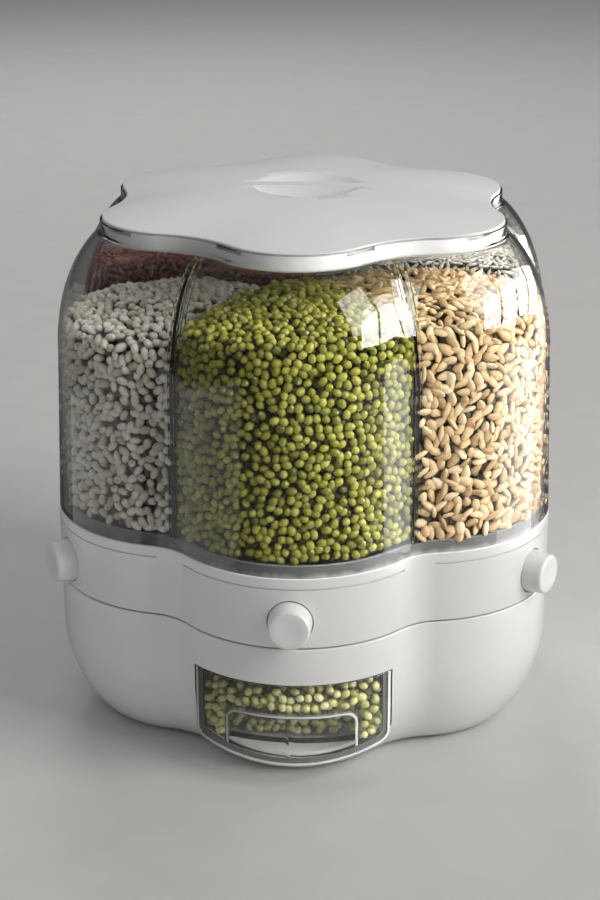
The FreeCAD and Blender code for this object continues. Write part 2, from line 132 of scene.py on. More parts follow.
def lobedSkin(profile, closed=False):  # spins a profile of (offset, height) round every arc of the outline
    bm = bmesh.new()
    arcs = (
        (toward(0, lobeCentre), outline["lobeRadius"], 1, -lobeHalf, 2 * lobeHalf, outline["lobeSteps"]),
        (toward(lobeStep / 2, filletCentre), outline["filletRadius"], -1,
         lobeStep / 2 + 180 + filletHalf, -2 * filletHalf, outline["filletSteps"]),
    )
    for centre, radius, side, start, turn, steps in arcs:
        chain = [bm.verts.new(centre + toward(start, radius + side * offset, height)) for offset, height in profile]
        pairs = list(zip(chain, chain[1:]))
        if closed:
            pairs.append((chain[-1], chain[0]))
        edges = [bm.edges.new(pair) for pair in pairs]
        bmesh.ops.spin(bm, geom=chain + edges, cent=centre, axis=(0, 0, 1), angle=math.radians(turn), steps=steps)
    bmesh.ops.remove_doubles(bm, verts=bm.verts[:], dist=0.004 * mm)
    bmesh.ops.spin(bm, geom=bm.verts[:] + bm.edges[:] + bm.faces[:], axis=(0, 0, 1),
                   angle=math.radians(360 - lobeStep), steps=outline["lobes"] - 1, use_duplicate=True)
    bmesh.ops.remove_doubles(bm, verts=bm.verts[:], dist=0.004 * mm)
    return bm


def lobedSolid(name, profile, closed=False):
    bm = lobedSkin(profile, closed)
    bmesh.ops.holes_fill(bm, edges=[edge for edge in bm.edges if edge.is_boundary], sides=0)
    return finished(name, bm)


def spunSolid(name, profile, steps=64, place=None):  # turned about Z from (radius, height), both ends on the axis
    bm = bmesh.new()
    chain = [bm.verts.new((radius * mm, 0, height * mm)) for radius, height in profile]
    edges = [bm.edges.new(pair) for pair in zip(chain, chain[1:])]
    bmesh.ops.spin(bm, geom=chain + edges, axis=(0, 0, 1), angle=math.tau, steps=steps, use_merge=True)
    bmesh.ops.remove_doubles(bm, verts=bm.verts[:], dist=0.001 * mm)
    if place:
        bmesh.ops.transform(bm, matrix=place, verts=bm.verts[:])
    return finished(name, bm)


def block(name, low, high, azimuth=0.0, soft=0.0):  # corners in millimetres, then turned about Z
    bm = bmesh.new()
    bmesh.ops.create_cube(bm, size=1)
    size = [(b - a) * mm for a, b in zip(low, high)]
    middle = [(a + b) / 2 * mm for a, b in zip(low, high)]
    bmesh.ops.scale(bm, vec=size, verts=bm.verts[:])
    bmesh.ops.translate(bm, vec=middle, verts=bm.verts[:])
    if soft:
        bmesh.ops.bevel(bm, geom=bm.edges[:], offset=soft * mm, affect="EDGES", segments=2, profile=0.5, material=-1)
    bmesh.ops.rotate(bm, cent=(0, 0, 0), matrix=Matrix.Rotation(math.radians(azimuth), 3, "Z"), verts=bm.verts[:])
    return finished(name, bm)


# Materials
def newMaterial(name):
    material = bpy.data.materials.new(name)
    material.use_nodes = True
    nodes = material.node_tree.nodes
    return material, nodes, material.node_tree.links, nodes["Principled BSDF"]


def mouldedGroup():  # faint mottling and the fine skin that a mould leaves
    group = bpy.data.node_groups.new("mouldedSkin", "ShaderNodeTree")
    for name, kind, value in (
        ("Colour", "NodeSocketColor", (0.8, 0.8, 0.8, 1)),
        ("Mottle", "NodeSocketFloat", 0.03),
        ("Mottle scale", "NodeSocketFloat", 30.0),
        ("Skin scale", "NodeSocketFloat", 2200.0),
        ("Roughness", "NodeSocketFloat", 0.3),
        ("Roughness spread", "NodeSocketFloat", 0.06),
    ):
        socket = group.interface.new_socket(name=name, in_out="INPUT", socket_type=kind)
        socket.default_value = value
    group.interface.new_socket(name="Colour", in_out="OUTPUT", socket_type="NodeSocketColor")
    group.interface.new_socket(name="Roughness", in_out="OUTPUT", socket_type="NodeSocketFloat")
    group.interface.new_socket(name="Height", in_out="OUTPUT", socket_type="NodeSocketFloat")
    nodes, links = group.nodes, group.links
    given = nodes.new("NodeGroupInput")
    result = nodes.new("NodeGroupOutput")
    place = nodes.new("ShaderNodeTexCoord")
    mottle = nodes.new("ShaderNodeTexNoise")
    mottle.inputs["Detail"].default_value = 4
    skin = nodes.new("ShaderNodeTexNoise")
    skin.inputs["Detail"].default_value = 2
    links.new(place.outputs["Object"], mottle.inputs["Vector"])
    links.new(place.outputs["Object"], skin.inputs["Vector"])
    links.new(given.outputs["Mottle scale"], mottle.inputs["Scale"])
    links.new(given.outputs["Skin scale"], skin.inputs["Scale"])
    darker = nodes.new("ShaderNodeMix")
    darker.data_type = "RGBA"
    darker.blend_type = "MULTIPLY"
    darker.inputs["Factor"].default_value = 1
    shade = nodes.new("ShaderNodeMapRange")
    shade.inputs["From Min"].default_value = 0.3
    shade.inputs["From Max"].default_value = 0.7
    shade.inputs["To Max"].default_value = 1
    least = nodes.new("ShaderNodeMath")
    least.operation = "SUBTRACT"
    least.inputs[0].default_value = 1
    links.new(given.outputs["Mottle"], least.inputs[1])
    links.new(least.outputs[0], shade.inputs["To Min"])
    links.new(mottle.outputs["Fac"], shade.inputs["Value"])
    links.new(given.outputs["Colour"], darker.inputs["A"])
    links.new(shade.outputs["Result"], darker.inputs["B"])
    spread = nodes.new("ShaderNodeMath")
    spread.operation = "MULTIPLY_ADD"
    links.new(mottle.outputs["Fac"], spread.inputs[0])
    links.new(given.outputs["Roughness spread"], spread.inputs[1])
    links.new(given.outputs["Roughness"], spread.inputs[2])
    links.new(darker.outputs["Result"], result.inputs["Colour"])
    links.new(spread.outputs[0], result.inputs["Roughness"])
    links.new(skin.outputs["Fac"], result.inputs["Height"])
    return group


mouldedSkin = mouldedGroup()


def plastic(name, colour, roughness, bump=0.03, mottle=0.03, specular=0.5, spread=0.06):
    material, nodes, links, shader = newMaterial(name)
    skin = nodes.new("ShaderNodeGroup")
    skin.node_tree = mouldedSkin
    skin.inputs["Colour"].default_value = (*colour, 1)
    skin.inputs["Mottle"].default_value = mottle
    skin.inputs["Roughness"].default_value = roughness
    skin.inputs["Roughness spread"].default_value = spread
    relief = nodes.new("ShaderNodeBump")
    relief.inputs["Strength"].default_value = bump
    relief.inputs["Distance"].default_value = 0.0004
    links.new(skin.outputs["Height"], relief.inputs["Height"])
    links.new(skin.outputs["Colour"], shader.inputs["Base Color"])
    links.new(skin.outputs["Roughness"], shader.inputs["Roughness"])
    links.new(relief.outputs["Normal"], shader.inputs["Normal"])
    shader.inputs["Specular IOR Level"].default_value = specular
    return material


def clearPlastic(name, tint, roughness, shadow=0.9, through=1.0):  # lets lamps through to what is inside
    material, nodes, links, shader = newMaterial(name)
    shader.inputs["Transmission Weight"].default_value = through
    shader.inputs["IOR"].default_value = 1.47
    shader.inputs["Metallic"].default_value = 0
    skin = nodes.new("ShaderNodeGroup")
    skin.node_tree = mouldedSkin
    skin.inputs["Colour"].default_value = (*tint, 1)
    skin.inputs["Mottle"].default_value = 0.01
    skin.inputs["Roughness"].default_value = roughness
    skin.inputs["Roughness spread"].default_value = 0.02
    links.new(skin.outputs["Colour"], shader.inputs["Base Color"])
    links.new(skin.outputs["Roughness"], shader.inputs["Roughness"])
    path = nodes.new("ShaderNodeLightPath")
    passing = nodes.new("ShaderNodeBsdfTransparent")
    passing.inputs["Color"].default_value = (shadow, shadow, shadow, 1)
    choose = nodes.new("ShaderNodeMixShader")
    links.new(path.outputs["Is Shadow Ray"], choose.inputs["Fac"])
    links.new(shader.outputs["BSDF"], choose.inputs[1])
    links.new(passing.outputs["BSDF"], choose.inputs[2])
    links.new(choose.outputs["Shader"], nodes["Material Output"].inputs["Surface"])
    return material


whitePlastic = plastic("whitePlastic", (0.83, 0.83, 0.82), 0.27, bump=0.02, mottle=0.006, spread=0.02)
lidPlastic = plastic("lidPlastic", (0.85, 0.85, 0.845), 0.36, bump=0.04, mottle=0.006, spread=0.02)
innerPlastic = plastic("innerPlastic", (0.8, 0.8, 0.79), 0.45, bump=0.06)
trayPlastic = plastic("trayPlastic", (0.5, 0.5, 0.49), 0.42, bump=0.05)
slickPlastic = plastic("slickPlastic", (0.75, 0.74, 0.7), 0.3)
footRubber = plastic("footRubber", (0.03, 0.03, 0.03), 0.75, bump=0.3, mottle=0.2)
clearShell = clearPlastic("clearShell", (0.97, 0.975, 0.97), 0.015)
clearDrawer = clearPlastic("clearDrawer", (0.97, 0.975, 0.97), 0.015, through=0.98)
# painted highlight: pale plastic for the bright lines along the drawer plate's and pocket's edges
paintedHighlightPlastic = plastic("paintedHighlightPlastic", (0.84, 0.84, 0.82), 0.25, mottle=0.02)
# painted shade: dark plastic for the strip behind the drawer plate's edge
shadePlastic = plastic("shadePlastic", (0.17, 0.175, 0.165), 0.4, mottle=0.05)


def brightSteel():
    material, nodes, links, shader = newMaterial("brightSteel")
    skin = nodes.new("ShaderNodeGroup")
    skin.node_tree = mouldedSkin
    skin.inputs["Colour"].default_value = (0.62, 0.62, 0.63, 1)
    skin.inputs["Mottle"].default_value = 0.15
    skin.inputs["Mottle scale"].default_value = 400
    skin.inputs["Roughness"].default_value = 0.22
    skin.inputs["Roughness spread"].default_value = 0.2
    links.new(skin.outputs["Colour"], shader.inputs["Base Color"])
    links.new(skin.outputs["Roughness"], shader.inputs["Roughness"])
    shader.inputs["Metallic"].default_value = 1
    return material


steel = brightSteel()


def dress(piece, material, body=None, replaces=()):
    piece.data.materials.clear()
    piece.data.materials.append(material)
    if body:
        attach(piece, body)
    if replaces:
        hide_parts(*replaces)
    return piece


print("stage: materials")

# Base: a bowl with one wall thickness, cut away for the drawer
base = {
    "foot": 1.6,
    "top": 85.5,
    "bowlTop": 54.4,      # the side is upright above this
    "bowlIn": 27.2,
    "bowlPower": 1.67,
    "wall": 2.6,
    "bowlSteps": 18,
    "drawerGap": 0.7,
}
drawer = {
    "halfWidth": 54.2,
    "top": 63.5,
    "corner": 21.5,
    "low": 14.0,
    "cornerRound": 5.0,
    "plate": 2.4,
    "plateSoft": 0.45,
    "wall": 2.2,
    "inset": 3.2,         # bin inside the edge of its front plate
    "back": -50.0,
    "binDrop": 1.5,
    "pocketHalf": 34.5,
    "pocketTop": 42.5,
    "pocketBack": -130.0,
    "pocketRound": 5.0,
    # sizes of the painted highlight strips along the plate's and pocket's edges
    "highlightWidth": 1.15,
    "highlightThick": 0.8,
    # width of the painted shade strip behind the plate's edge
    "shadeWidth": 4.0,
}


def bowlSide(wall):
    power = 2 / base["bowlPower"]
    side = []
    for k in range(base["bowlSteps"] + 1):
        turn = math.pi / 2 * k / base["bowlSteps"]
        height = base["bowlTop"] - (base["bowlTop"] - wall) * math.sin(turn) ** power
        inward = (base["bowlIn"] - wall) * (1 - math.cos(turn) ** power)
        side.append((-wall - inward, height))
    return side[::-1]


def drawerFront(name, grow, back, top=None, front=-175.0, segments=16):  # front view of the drawer, grown on all sides
    half = drawer["halfWidth"] + grow
    top = top or drawer["top"] + grow
    corner = Vector((half, drawer["corner"] - grow))
    low = Vector((0, drawer["low"] - grow))
    radius = (corner.x ** 2 + (corner.y - low.y) ** 2) / 2 / (corner.y - low.y)
    sweep = math.asin(corner.x / radius)
    bm = bmesh.new()
    start = bm.verts.new((-half * mm, front * mm, corner.y * mm))
    bmesh.ops.spin(bm, geom=[start], cent=(0, front * mm, (low.y + radius) * mm), axis=(0, -1, 0),
                   angle=2 * sweep, steps=segments)
    ends = sorted(bm.verts, key=lambda vert: vert.co.x)
    upLeft = bm.verts.new((-half * mm, front * mm, top * mm))
    upRight = bm.verts.new((half * mm, front * mm, top * mm))
    bm.edges.new((ends[0], upLeft))
    bm.edges.new((ends[-1], upRight))
    bm.edges.new((upLeft, upRight))
    face = bmesh.ops.contextual_create(bm, geom=bm.edges[:])["faces"]
    pushed = bmesh.ops.extrude_face_region(bm, geom=face)["geom"]
    bmesh.ops.translate(bm, vec=(0, (back - front) * mm, 0), verts=[v for v in pushed if isinstance(v, bmesh.types.BMVert)])
    long = [e for e in bm.edges if abs(e.verts[0].co.y - e.verts[1].co.y) > 0.001]
    soft = [e for e in long if abs(abs(e.verts[0].co.x) - half * mm) < 1e-5 and e.verts[0].co.z < (drawer["corner"] + 5) * mm]
    bmesh.ops.bevel(bm, geom=soft, offset=(drawer["cornerRound"] + min(grow, 0) / 2) * mm, affect="EDGES",
                    segments=5, profile=0.5, material=-1)
    return finished(name, bm)


floorHeight = base["foot"] + base["wall"]
outerSide = [point for point in bowlSide(0) if point[1] > base["foot"]]
innerSide = [point for point in bowlSide(base["wall"]) if point[1] > floorHeight]
footEdge = outerSide[0][0] - 3.0
shellPath = [(footEdge, base["foot"])] + outerSide + rounded([
    (0, base["bowlTop"], 0), (0, base["top"], 0.7), (-base["wall"], base["top"], 0.5), (-base["wall"], base["bowlTop"], 0),
])[1:-1] + innerSide[::-1] + [(innerSide[0][0] - 3.0, floorHeight)]
baseShell = lobedSolid("baseShell", shellPath)
carved(baseShell, drawerFront("opening", base["drawerGap"], -lobeCentre))
dress(baseShell, whitePlastic, "base", ("base_housing",))
print("stage: base")

# Ring with the button holes and the fine line under its rim
ring = {
    "bottom": 86.4,
    "top": 127.0,
    "wall": 1.8,
    "lineHeight": 121.0,
    "lineWidth": 0.95,
    "lineDepth": 1.1,
    "lineHalf": 52.4,     # degrees each side of a lobe's crest
    "rimLean": 0.5,
    "buttonHeight": 101.6,
    "holeRadius": 12.7,
}
ringPath = rounded([
    (0, ring["bottom"], 0.7),
    (0, ring["lineHeight"] + 0.5, 0),
    (-ring["rimLean"], ring["top"], 0.8),
    (-ring["wall"], ring["top"], 0.3),
    (-ring["wall"], ring["bottom"], 0.3),
], closed=True)
ringShell = lobedSolid("ringShell", ringPath, closed=True)
grooves = bmesh.new()
for lobe in range(outline["lobes"]):
    centre = toward(lobe * lobeStep, lobeCentre)
    near = outline["lobeRadius"] - ring["lineDepth"]
    far = outline["lobeRadius"] + 2
    low = ring["lineHeight"] - ring["lineWidth"] / 2
    high = ring["lineHeight"] + ring["lineWidth"] / 2
    start = lobe * lobeStep - ring["lineHalf"]
    loop = [grooves.verts.new(centre + toward(start, reach, height))
            for reach, height in ((near, low), (far, low), (far, high), (near, high))]
    face = grooves.faces.new(loop)
    bmesh.ops.spin(grooves, geom=[face] + list(face.edges) + loop, cent=centre, axis=(0, 0, 1),
                   angle=math.radians(2 * ring["lineHalf"]), steps=outline["lobeSteps"])
carved(ringShell, finished("lines", grooves))
holeCutters = []
for lobe in range(outline["lobes"]):
    place = Matrix.Rotation(math.radians(lobe * lobeStep), 4, "Z") @ Matrix.Translation((0, -0.14, ring["buttonHeight"] * mm))
    place = place @ Matrix.Rotation(math.radians(90), 4, "X")
    radius = ring["holeRadius"]
    holeCutters.append(spunSolid("hole%d" % lobe, ((0, 0), (radius, 0), (radius, 12.6), (radius + 0.6, 13.3), (radius + 6, 30), (0, 30)), 48, place))
carved(ringShell, *holeCutters)
dress(ringShell, whitePlastic, "rotor", ("button_ring",))

# Buttons
button = {
    "inner": 143.9,
    "outer": 164.0,
    "wallRadius": 12.25,
    "frontRadius": 11.3,
    "round": 1.6,
    "dish": 0.5,
}
for lobe in range(outline["lobes"]):
    length = button["outer"] - button["inner"]
    front = rounded([
        (button["wallRadius"], 0, 0), (button["wallRadius"], 7.0, 2.0), (button["frontRadius"], length, button["round"]),
        (button["frontRadius"] - 4, length, 2.0), (0, length - button["dish"], 0),
    ])
    place = Matrix.Rotation(math.radians(lobe * lobeStep), 4, "Z")
    place = place @ Matrix.Translation((0, -button["inner"] * mm, ring["buttonHeight"] * mm))
    place = place @ Matrix.Rotation(math.radians(90), 4, "X")
    push = spunSolid("pushButton%d" % (lobe + 1), [(0, 0)] + front, 48, place)
    dress(push, whitePlastic, "push_%d" % (lobe + 1), ("button_%d" % (lobe + 1),))
print("stage: ring and buttons")

# Clear shell with the channels that hold the partitions
shell = {
    "lip": -1.9,          # the part that stands inside the ring
    "lipIn": -4.5,
    "bottom": 119.0,
    "seat": 127.3,        # flush with the ring from here
    "low": -0.4,
    "high": -3.6,
    "shoulder": 222.0,
    "shoulderIn": 47.1,
    "shoulderRise": 75.0,
    "wall": 2.1,
    "neck": 289.2,        # shoulder ends in an upright collar
    "neckOut": -30.0,
    "neckIn": -31.4,
    "rim": 295.4,
    "steps": 20,
    "ribGap": 1.4,
    "ribWall": 1.5,
    "ribDepth": 6.0,
    "ribBottom": 133.3,
    "ribTop": 286.0,
    "ribIn": -35.6,       # ribs stay clear of the lid's plug
}


def shoulderSide(wall, high):  # from the top of the upright side to a height
    most = math.asin((high - shell["shoulder"]) / shell["shoulderRise"])
    side = []
    for k in range(shell["steps"] + 1):
        turn = most * k / shell["steps"]
        out = Vector((shell["shoulderRise"] * math.cos(turn), shell["shoulderIn"] * math.sin(turn))).normalized()
        side.append((
            shell["high"] - shell["shoulderIn"] * (1 - math.cos(turn)) - wall * out.x,
            shell["shoulder"] + shell["shoulderRise"] * math.sin(turn) - wall * out.y,
        ))
    return side


def wallInside(height):  # inside of the clear wall and how far it leans over at this height
    if height <= shell["shoulder"]:
        share = max(height - shell["seat"], 0) / (shell["shoulder"] - shell["seat"])
        return shell["lipIn"] + (shell["high"] - shell["wall"] - shell["lipIn"]) * share, 0.0
    rise = shell["shoulderRise"] - shell["wall"]
    across = shell["shoulderIn"] - shell["wall"]
    turn = math.asin(min((height - shell["shoulder"]) / rise, 0.99))
    return shell["high"] - shell["wall"] - across * (1 - math.cos(turn)), math.atan2(across * math.sin(turn), rise * math.cos(turn))


outerWall = shoulderSide(0, shell["neck"])
innerWall = [point for point in shoulderSide(shell["wall"], shell["rim"]) if point[0] > shell["neckIn"] + 0.3]
shellPath = [(shell["lip"], shell["bottom"] + 0.5), (shell["lip"], shell["seat"] - 0.3), (shell["lip"] + 0.3, shell["seat"]),
             (shell["low"] - 0.4, shell["seat"]), (shell["low"], shell["seat"] + 0.4)]
shellPath += outerWall + [
    (shell["neckOut"], shell["neck"] + 0.8), (shell["neckOut"], shell["rim"] - 0.4), (shell["neckOut"] - 0.4, shell["rim"]),
    (shell["neckIn"] + 0.2, shell["rim"]), (shell["neckIn"], shell["rim"] - 0.2), (shell["neckIn"], innerWall[-1][1] + 0.6),
] + innerWall[::-1]
shellPath += [(shell["lipIn"], shell["seat"]), (shell["lipIn"], shell["bottom"]), (shell["lip"] - 0.5, shell["bottom"])]
clearWall = lobedSolid("clearWall", shellPath, closed=True)


def channelRibs():  # two upright ribs at each groove, following the inside of the wall
    bm = bmesh.new()
    inside = [point for point in shoulderSide(shell["wall"], shell["rim"]) if point[1] < shell["ribTop"]]
    inside.insert(0, (wallInside(shell["ribBottom"])[0], shell["ribBottom"]))
    side = [(across + shell["wall"] / 2, height) for across, height in inside]
    side += [(max(across - shell["ribDepth"], shell["ribIn"]), height) for across, height in inside[::-1]]
    for lobe in range(outline["lobes"]):
        for hand in (-1, 1):
            near = shell["ribGap"] if hand > 0 else -shell["ribGap"] - shell["ribWall"]
            loop = [bm.verts.new((near * mm, -(grooveRadius + across) * mm, height * mm)) for across, height in side]
            face = bm.faces.new(loop)
            pushed = bmesh.ops.extrude_face_region(bm, geom=[face])["geom"]
            moved = [v for v in pushed if isinstance(v, bmesh.types.BMVert)]
            bmesh.ops.translate(bm, vec=(shell["ribWall"] * mm, 0, 0), verts=moved)
            bmesh.ops.rotate(bm, cent=(0, 0, 0), matrix=Matrix.Rotation(math.radians((lobe + 0.5) * lobeStep), 3, "Z"),
                             verts=moved + loop)
    return finished("channelRibs", bm)


carved(clearWall, channelRibs(), how="UNION")
dress(clearWall, clearShell, "rotor", ("container_shell",))

# Rim of the grain tray, seen through the wall, coloured with painted shade that darkens it towards the grain
# shade and light are the painted shade's values by the grain and by the ring
tray = {"out": -4.62, "in": -4.78, "bottom": 119.2, "top": 133.1, "shade": 0.16, "light": 0.62}
trayRim = lobedSolid("trayRim", [
    (tray["out"], tray["bottom"]), (tray["out"], tray["top"]), (tray["in"], tray["top"]), (tray["in"], tray["bottom"]),
], closed=True)
trayPaintedShade, nodes, links, shader = newMaterial("trayPaintedShade")  # darker towards the grain
place = nodes.new("ShaderNodeTexCoord")
split = nodes.new("ShaderNodeSeparateXYZ")
streak = nodes.new("ShaderNodeTexNoise")
streak.inputs["Scale"].default_value = 1
streak.inputs["Detail"].default_value = 3
stretch = nodes.new("ShaderNodeMapping")
stretch.inputs["Scale"].default_value = (160, 160, 12)
links.new(place.outputs["Object"], stretch.inputs["Vector"])
links.new(stretch.outputs["Vector"], streak.inputs["Vector"])
links.new(place.outputs["Object"], split.inputs["Vector"])
fade = nodes.new("ShaderNodeMapRange")
fade.inputs["From Min"].default_value = (tray["top"] - 1.0) * mm
fade.inputs["From Max"].default_value = shell["seat"] * mm
fade.inputs["To Min"].default_value = tray["shade"]
fade.inputs["To Max"].default_value = tray["light"]
vary = nodes.new("ShaderNodeMath")
vary.operation = "MULTIPLY_ADD"
vary.inputs[1].default_value = 0.006
links.new(streak.outputs["Fac"], vary.inputs[0])
links.new(split.outputs["Z"], vary.inputs[2])
links.new(vary.outputs[0], fade.inputs["Value"])
links.new(fade.outputs["Result"], shader.inputs["Base Color"])
shader.inputs["Roughness"].default_value = 0.5
dress(trayRim, trayPaintedShade, "rotor")
print("stage: clear shell")

# Lid
lid = {
    "skirtOut": -31.6,
    "skirtBottom": 287.0,
    "edgeOut": -31.4,
    "edge": 296.8,
    "crown": 306.0,
    "edgeRound": 0.7,
    "lineTop": 296.0,     # fine line under the edge of the top
    "lineWidth": 0.55,
    "lineDepth": 1.0,
    "wall": 1.9,
    "loops": (0.97, 0.93, 0.87, 0.8, 0.72, 0.63, 0.54, 0.45, 0.36, 0.27, 0.18, 0.09),
    "crownPower": 2.4,
    "crownRound": 0.75,   # share of the loops' turning into circles
    "dishRadius": 32.0,
    "dishDepth": 8.0,
    "dishWall": 2.0,
    "barWidth": 9.0,
    "windows": 10,
    "windowWidth": 18.0,
    "windowHeight": 2.6,
    "windowTop": 295.4,
}


def lidBody(name, sides, drop):  # side profile with a crowned top made of shrinking loops
    bm = lobedSkin(sides)
    rise = lid["crown"] - lid["edge"]
    top = max(height for across, height in sides)
    rim = [edge for edge in bm.edges if edge.is_boundary and edge.verts[0].co.z > (top - 0.01) * mm]
    share = 1.0
    middle = sum(edge.verts[0].co.xy.length for edge in rim) / len(rim)
    for nextShare in lid["loops"]:
        grown = bmesh.ops.extrude_edge_only(bm, edges=rim)["geom"]
        verts = [item for item in grown if isinstance(item, bmesh.types.BMVert)]
        rim = [item for item in grown if isinstance(item, bmesh.types.BMEdge) and item.verts[0] in verts and item.verts[1] in verts]
        level = lid["crown"] - drop - rise * nextShare ** lid["crownPower"]
        bmesh.ops.scale(bm, vec=(nextShare / share, nextShare / share, 1), verts=verts)
        bmesh.ops.translate(bm, vec=(0, 0, level * mm - verts[0].co.z), verts=verts)
        rounder = lid["crownRound"] * (share - nextShare) / share
        for vert in verts:  # each loop a little rounder than the last
            reach = vert.co.xy.length
            vert.co.xy *= 1 + rounder * (middle * nextShare / reach - 1)
        share = nextShare
    bmesh.ops.holes_fill(bm, edges=[edge for edge in bm.edges if edge.is_boundary], sides=0)
    return finished(name, bm, sharp=50)


outerLid = [(lid["skirtOut"] - 0.8, lid["skirtBottom"])] + rounded([
    (lid["skirtOut"] - 0.8, lid["skirtBottom"], 0), (lid["skirtOut"], lid["skirtBottom"], 0.4),
    (lid["skirtOut"], lid["lineTop"] - lid["lineWidth"], 0.2),
    (lid["edgeOut"] - lid["lineDepth"], lid["lineTop"] - lid["lineWidth"], 0),
    (lid["edgeOut"] - lid["lineDepth"], lid["lineTop"], 0), (lid["edgeOut"] + 0.1, lid["lineTop"], 0.15),
    (lid["edgeOut"], lid["edge"], lid["edgeRound"]), (lid["edgeOut"] - 6.0, lid["edge"] + 0.9, 0),
])[1:-1]
lidCover = lidBody("lidCover", outerLid, 0)
hollow = lidBody("hollow", [
    (lid["skirtOut"] - lid["wall"], lid["skirtBottom"] - 2), (lid["skirtOut"] - lid["wall"], lid["skirtBottom"] + 3),
    (lid["edgeOut"] - lid["wall"] - 0.6, lid["edge"] - lid["wall"]),
], lid["wall"])
carved(lidCover, hollow)
floorOfDish = lid["crown"] - lid["dishDepth"]
bulge = spunSolid("bulge", (
    (0, floorOfDish - lid["dishWall"]), (18, floorOfDish - lid["dishWall"] + 1.4), (lid["dishRadius"] + 1, lid["crown"] - 2.6), (lid["dishRadius"] - 1, lid["crown"] - 1.4), (0, lid["crown"] - 1.4),
))
carved(lidCover, bulge, how="UNION")
scoopRadius = (lid["dishRadius"] ** 2 + lid["dishDepth"] ** 2) / 2 / lid["dishDepth"]
scoopPath = [(0, floorOfDish)]
for k in range(1, 13):
    across = lid["dishRadius"] * k / 12
    scoopPath.append((across, floorOfDish + scoopRadius - math.sqrt(scoopRadius ** 2 - across ** 2)))
scoop = spunSolid("scoop", scoopPath + [(lid["dishRadius"] + 1.5, lid["crown"] + 1.0), (0, lid["crown"] + 1.0)], 72)
bar = block("bar", (-50, -lid["barWidth"] / 2, floorOfDish - 5), (50, lid["barWidth"] / 2, lid["crown"] + 6))
carved(scoop, bar)
carved(lidCover, scoop)
windows = []
for k in range(lid["windows"]):
    windows.append(block("window%d" % k, (-lid["windowWidth"] / 2, -140, lid["windowTop"] - lid["windowHeight"]),
                         (lid["windowWidth"] / 2, -96, lid["windowTop"]), (k + 0.5) * 360 / lid["windows"]))
carved(lidCover, *windows)
dress(lidCover, lidPlastic, "lid", ("lid_cover",))

liner = {"out": -36.3, "wall": 2.0, "bottom": 285.5, "top": 296.5, "floor": 1.6}
linerPath = rounded([
    (liner["out"], liner["top"], 0), (liner["out"], liner["bottom"], 0.8), (liner["out"] - 12, liner["bottom"], 0),
]) + [(liner["out"] - 12, liner["bottom"] + liner["floor"]), (liner["out"] - liner["wall"], liner["bottom"] + liner["floor"]), (liner["out"] - liner["wall"], liner["top"])]
lidPlug = lobedSolid("lidPlug", linerPath, closed=True)
linerFloor = lobedSolid("linerFloor", [(liner["out"] - 11.5, liner["bottom"] + 0.2), (liner["out"] - 11.5, liner["bottom"] + liner["floor"] - 0.2)])
carved(lidPlug, linerFloor, how="UNION")
dress(lidPlug, innerPlastic, "lid", ("lid_liner",))
print("stage: lid")

# Drawer



def frontBarrel(name, inset, low=-5.0, high=90.0):  # round body on the front lobe's centre
    radius = outline["lobeRadius"] - inset
    place = Matrix.Translation(toward(0, lobeCentre))
    return spunSolid(name, ((0, low), (radius, low), (radius, high), (0, high)), 144, place)


def fingerPocket(name, grow, inset):  # room behind the plate, open below
    bm = bmesh.new()
    half = drawer["pocketHalf"] + grow
    back = drawer["pocketBack"] + grow
    top = drawer["pocketTop"] + grow
    bmesh.ops.create_cube(bm, size=1)
    bmesh.ops.scale(bm, vec=(2 * half * mm, 40 * mm, top * mm), verts=bm.verts[:])
    bmesh.ops.translate(bm, vec=(0, (back - 20) * mm, top / 2 * mm), verts=bm.verts[:])
    upper = [edge for edge in bm.edges if edge.verts[0].co.z > 0.03 and edge.verts[1].co.z > 0.03
             and abs(edge.verts[0].co.y - edge.verts[1].co.y) > 0.02]
    bmesh.ops.bevel(bm, geom=upper, offset=(drawer["pocketRound"] + grow) * mm, affect="EDGES", segments=6, profile=0.5, material=-1)
    return carved(finished(name, bm), frontBarrel("barrel", inset), how="INTERSECT")


plate = drawerFront("plate", 0, -lobeCentre)
carved(plate, frontBarrel("barrel", 0), how="INTERSECT")
carved(plate, frontBarrel("barrel", drawer["plate"]))
behind = drawer["plate"] + 0.02
drawerBin = drawerFront("drawerBin", -drawer["inset"], drawer["back"], drawer["top"] - drawer["binDrop"])
carved(drawerBin, frontBarrel("barrel", behind), how="INTERSECT")
hollow = drawerFront("hollow", -drawer["inset"] - drawer["wall"], drawer["back"] - drawer["wall"], drawer["top"] + 5)
carved(hollow, frontBarrel("barrel", drawer["plate"] - 0.5), how="INTERSECT")
tubSpace = drawerBin.copy()
tubSpace.data = drawerBin.data.copy()
scene.collection.objects.link(tubSpace)
liner = fingerPocket("liner", drawer["wall"], drawer["plate"] - 0.3)
carved(liner, tubSpace, how="INTERSECT")
carved(drawerBin, hollow)
carved(drawerBin, liner, how="UNION")
carved(drawerBin, fingerPocket("pocket", 0, drawer["plate"] - 0.7))
bm = bmesh.new()
bm.from_mesh(plate.data)
crest = outline["lobeRadius"] * mm
rimEdges = [edge for edge in bm.edges if edge.calc_face_angle(0) > math.radians(50)
            and all(abs(math.hypot(vert.co.x, vert.co.y + lobeCentre * mm) - crest) < 0.03 * mm for vert in edge.verts)]
bmesh.ops.bevel(bm, geom=rimEdges, offset=drawer["plateSoft"] * mm, affect="EDGES", segments=3, profile=0.5, material=-1)
bm.from_mesh(drawerBin.data)
bmesh.ops.holes_fill(bm, edges=[edge for edge in bm.edges if edge.is_boundary], sides=0)
bm.to_mesh(drawerBin.data)
bm.free()
bpy.data.objects.remove(plate)
drawerBin.data.polygons.foreach_set("use_smooth", [True] * len(drawerBin.data.polygons))
drawerBin.data.set_sharp_from_angle(angle=math.radians(40))
dress(drawerBin, clearDrawer, "drawer", ("drawer_bin",))
print("drawer", len(drawerBin.data.polygons), "faces")
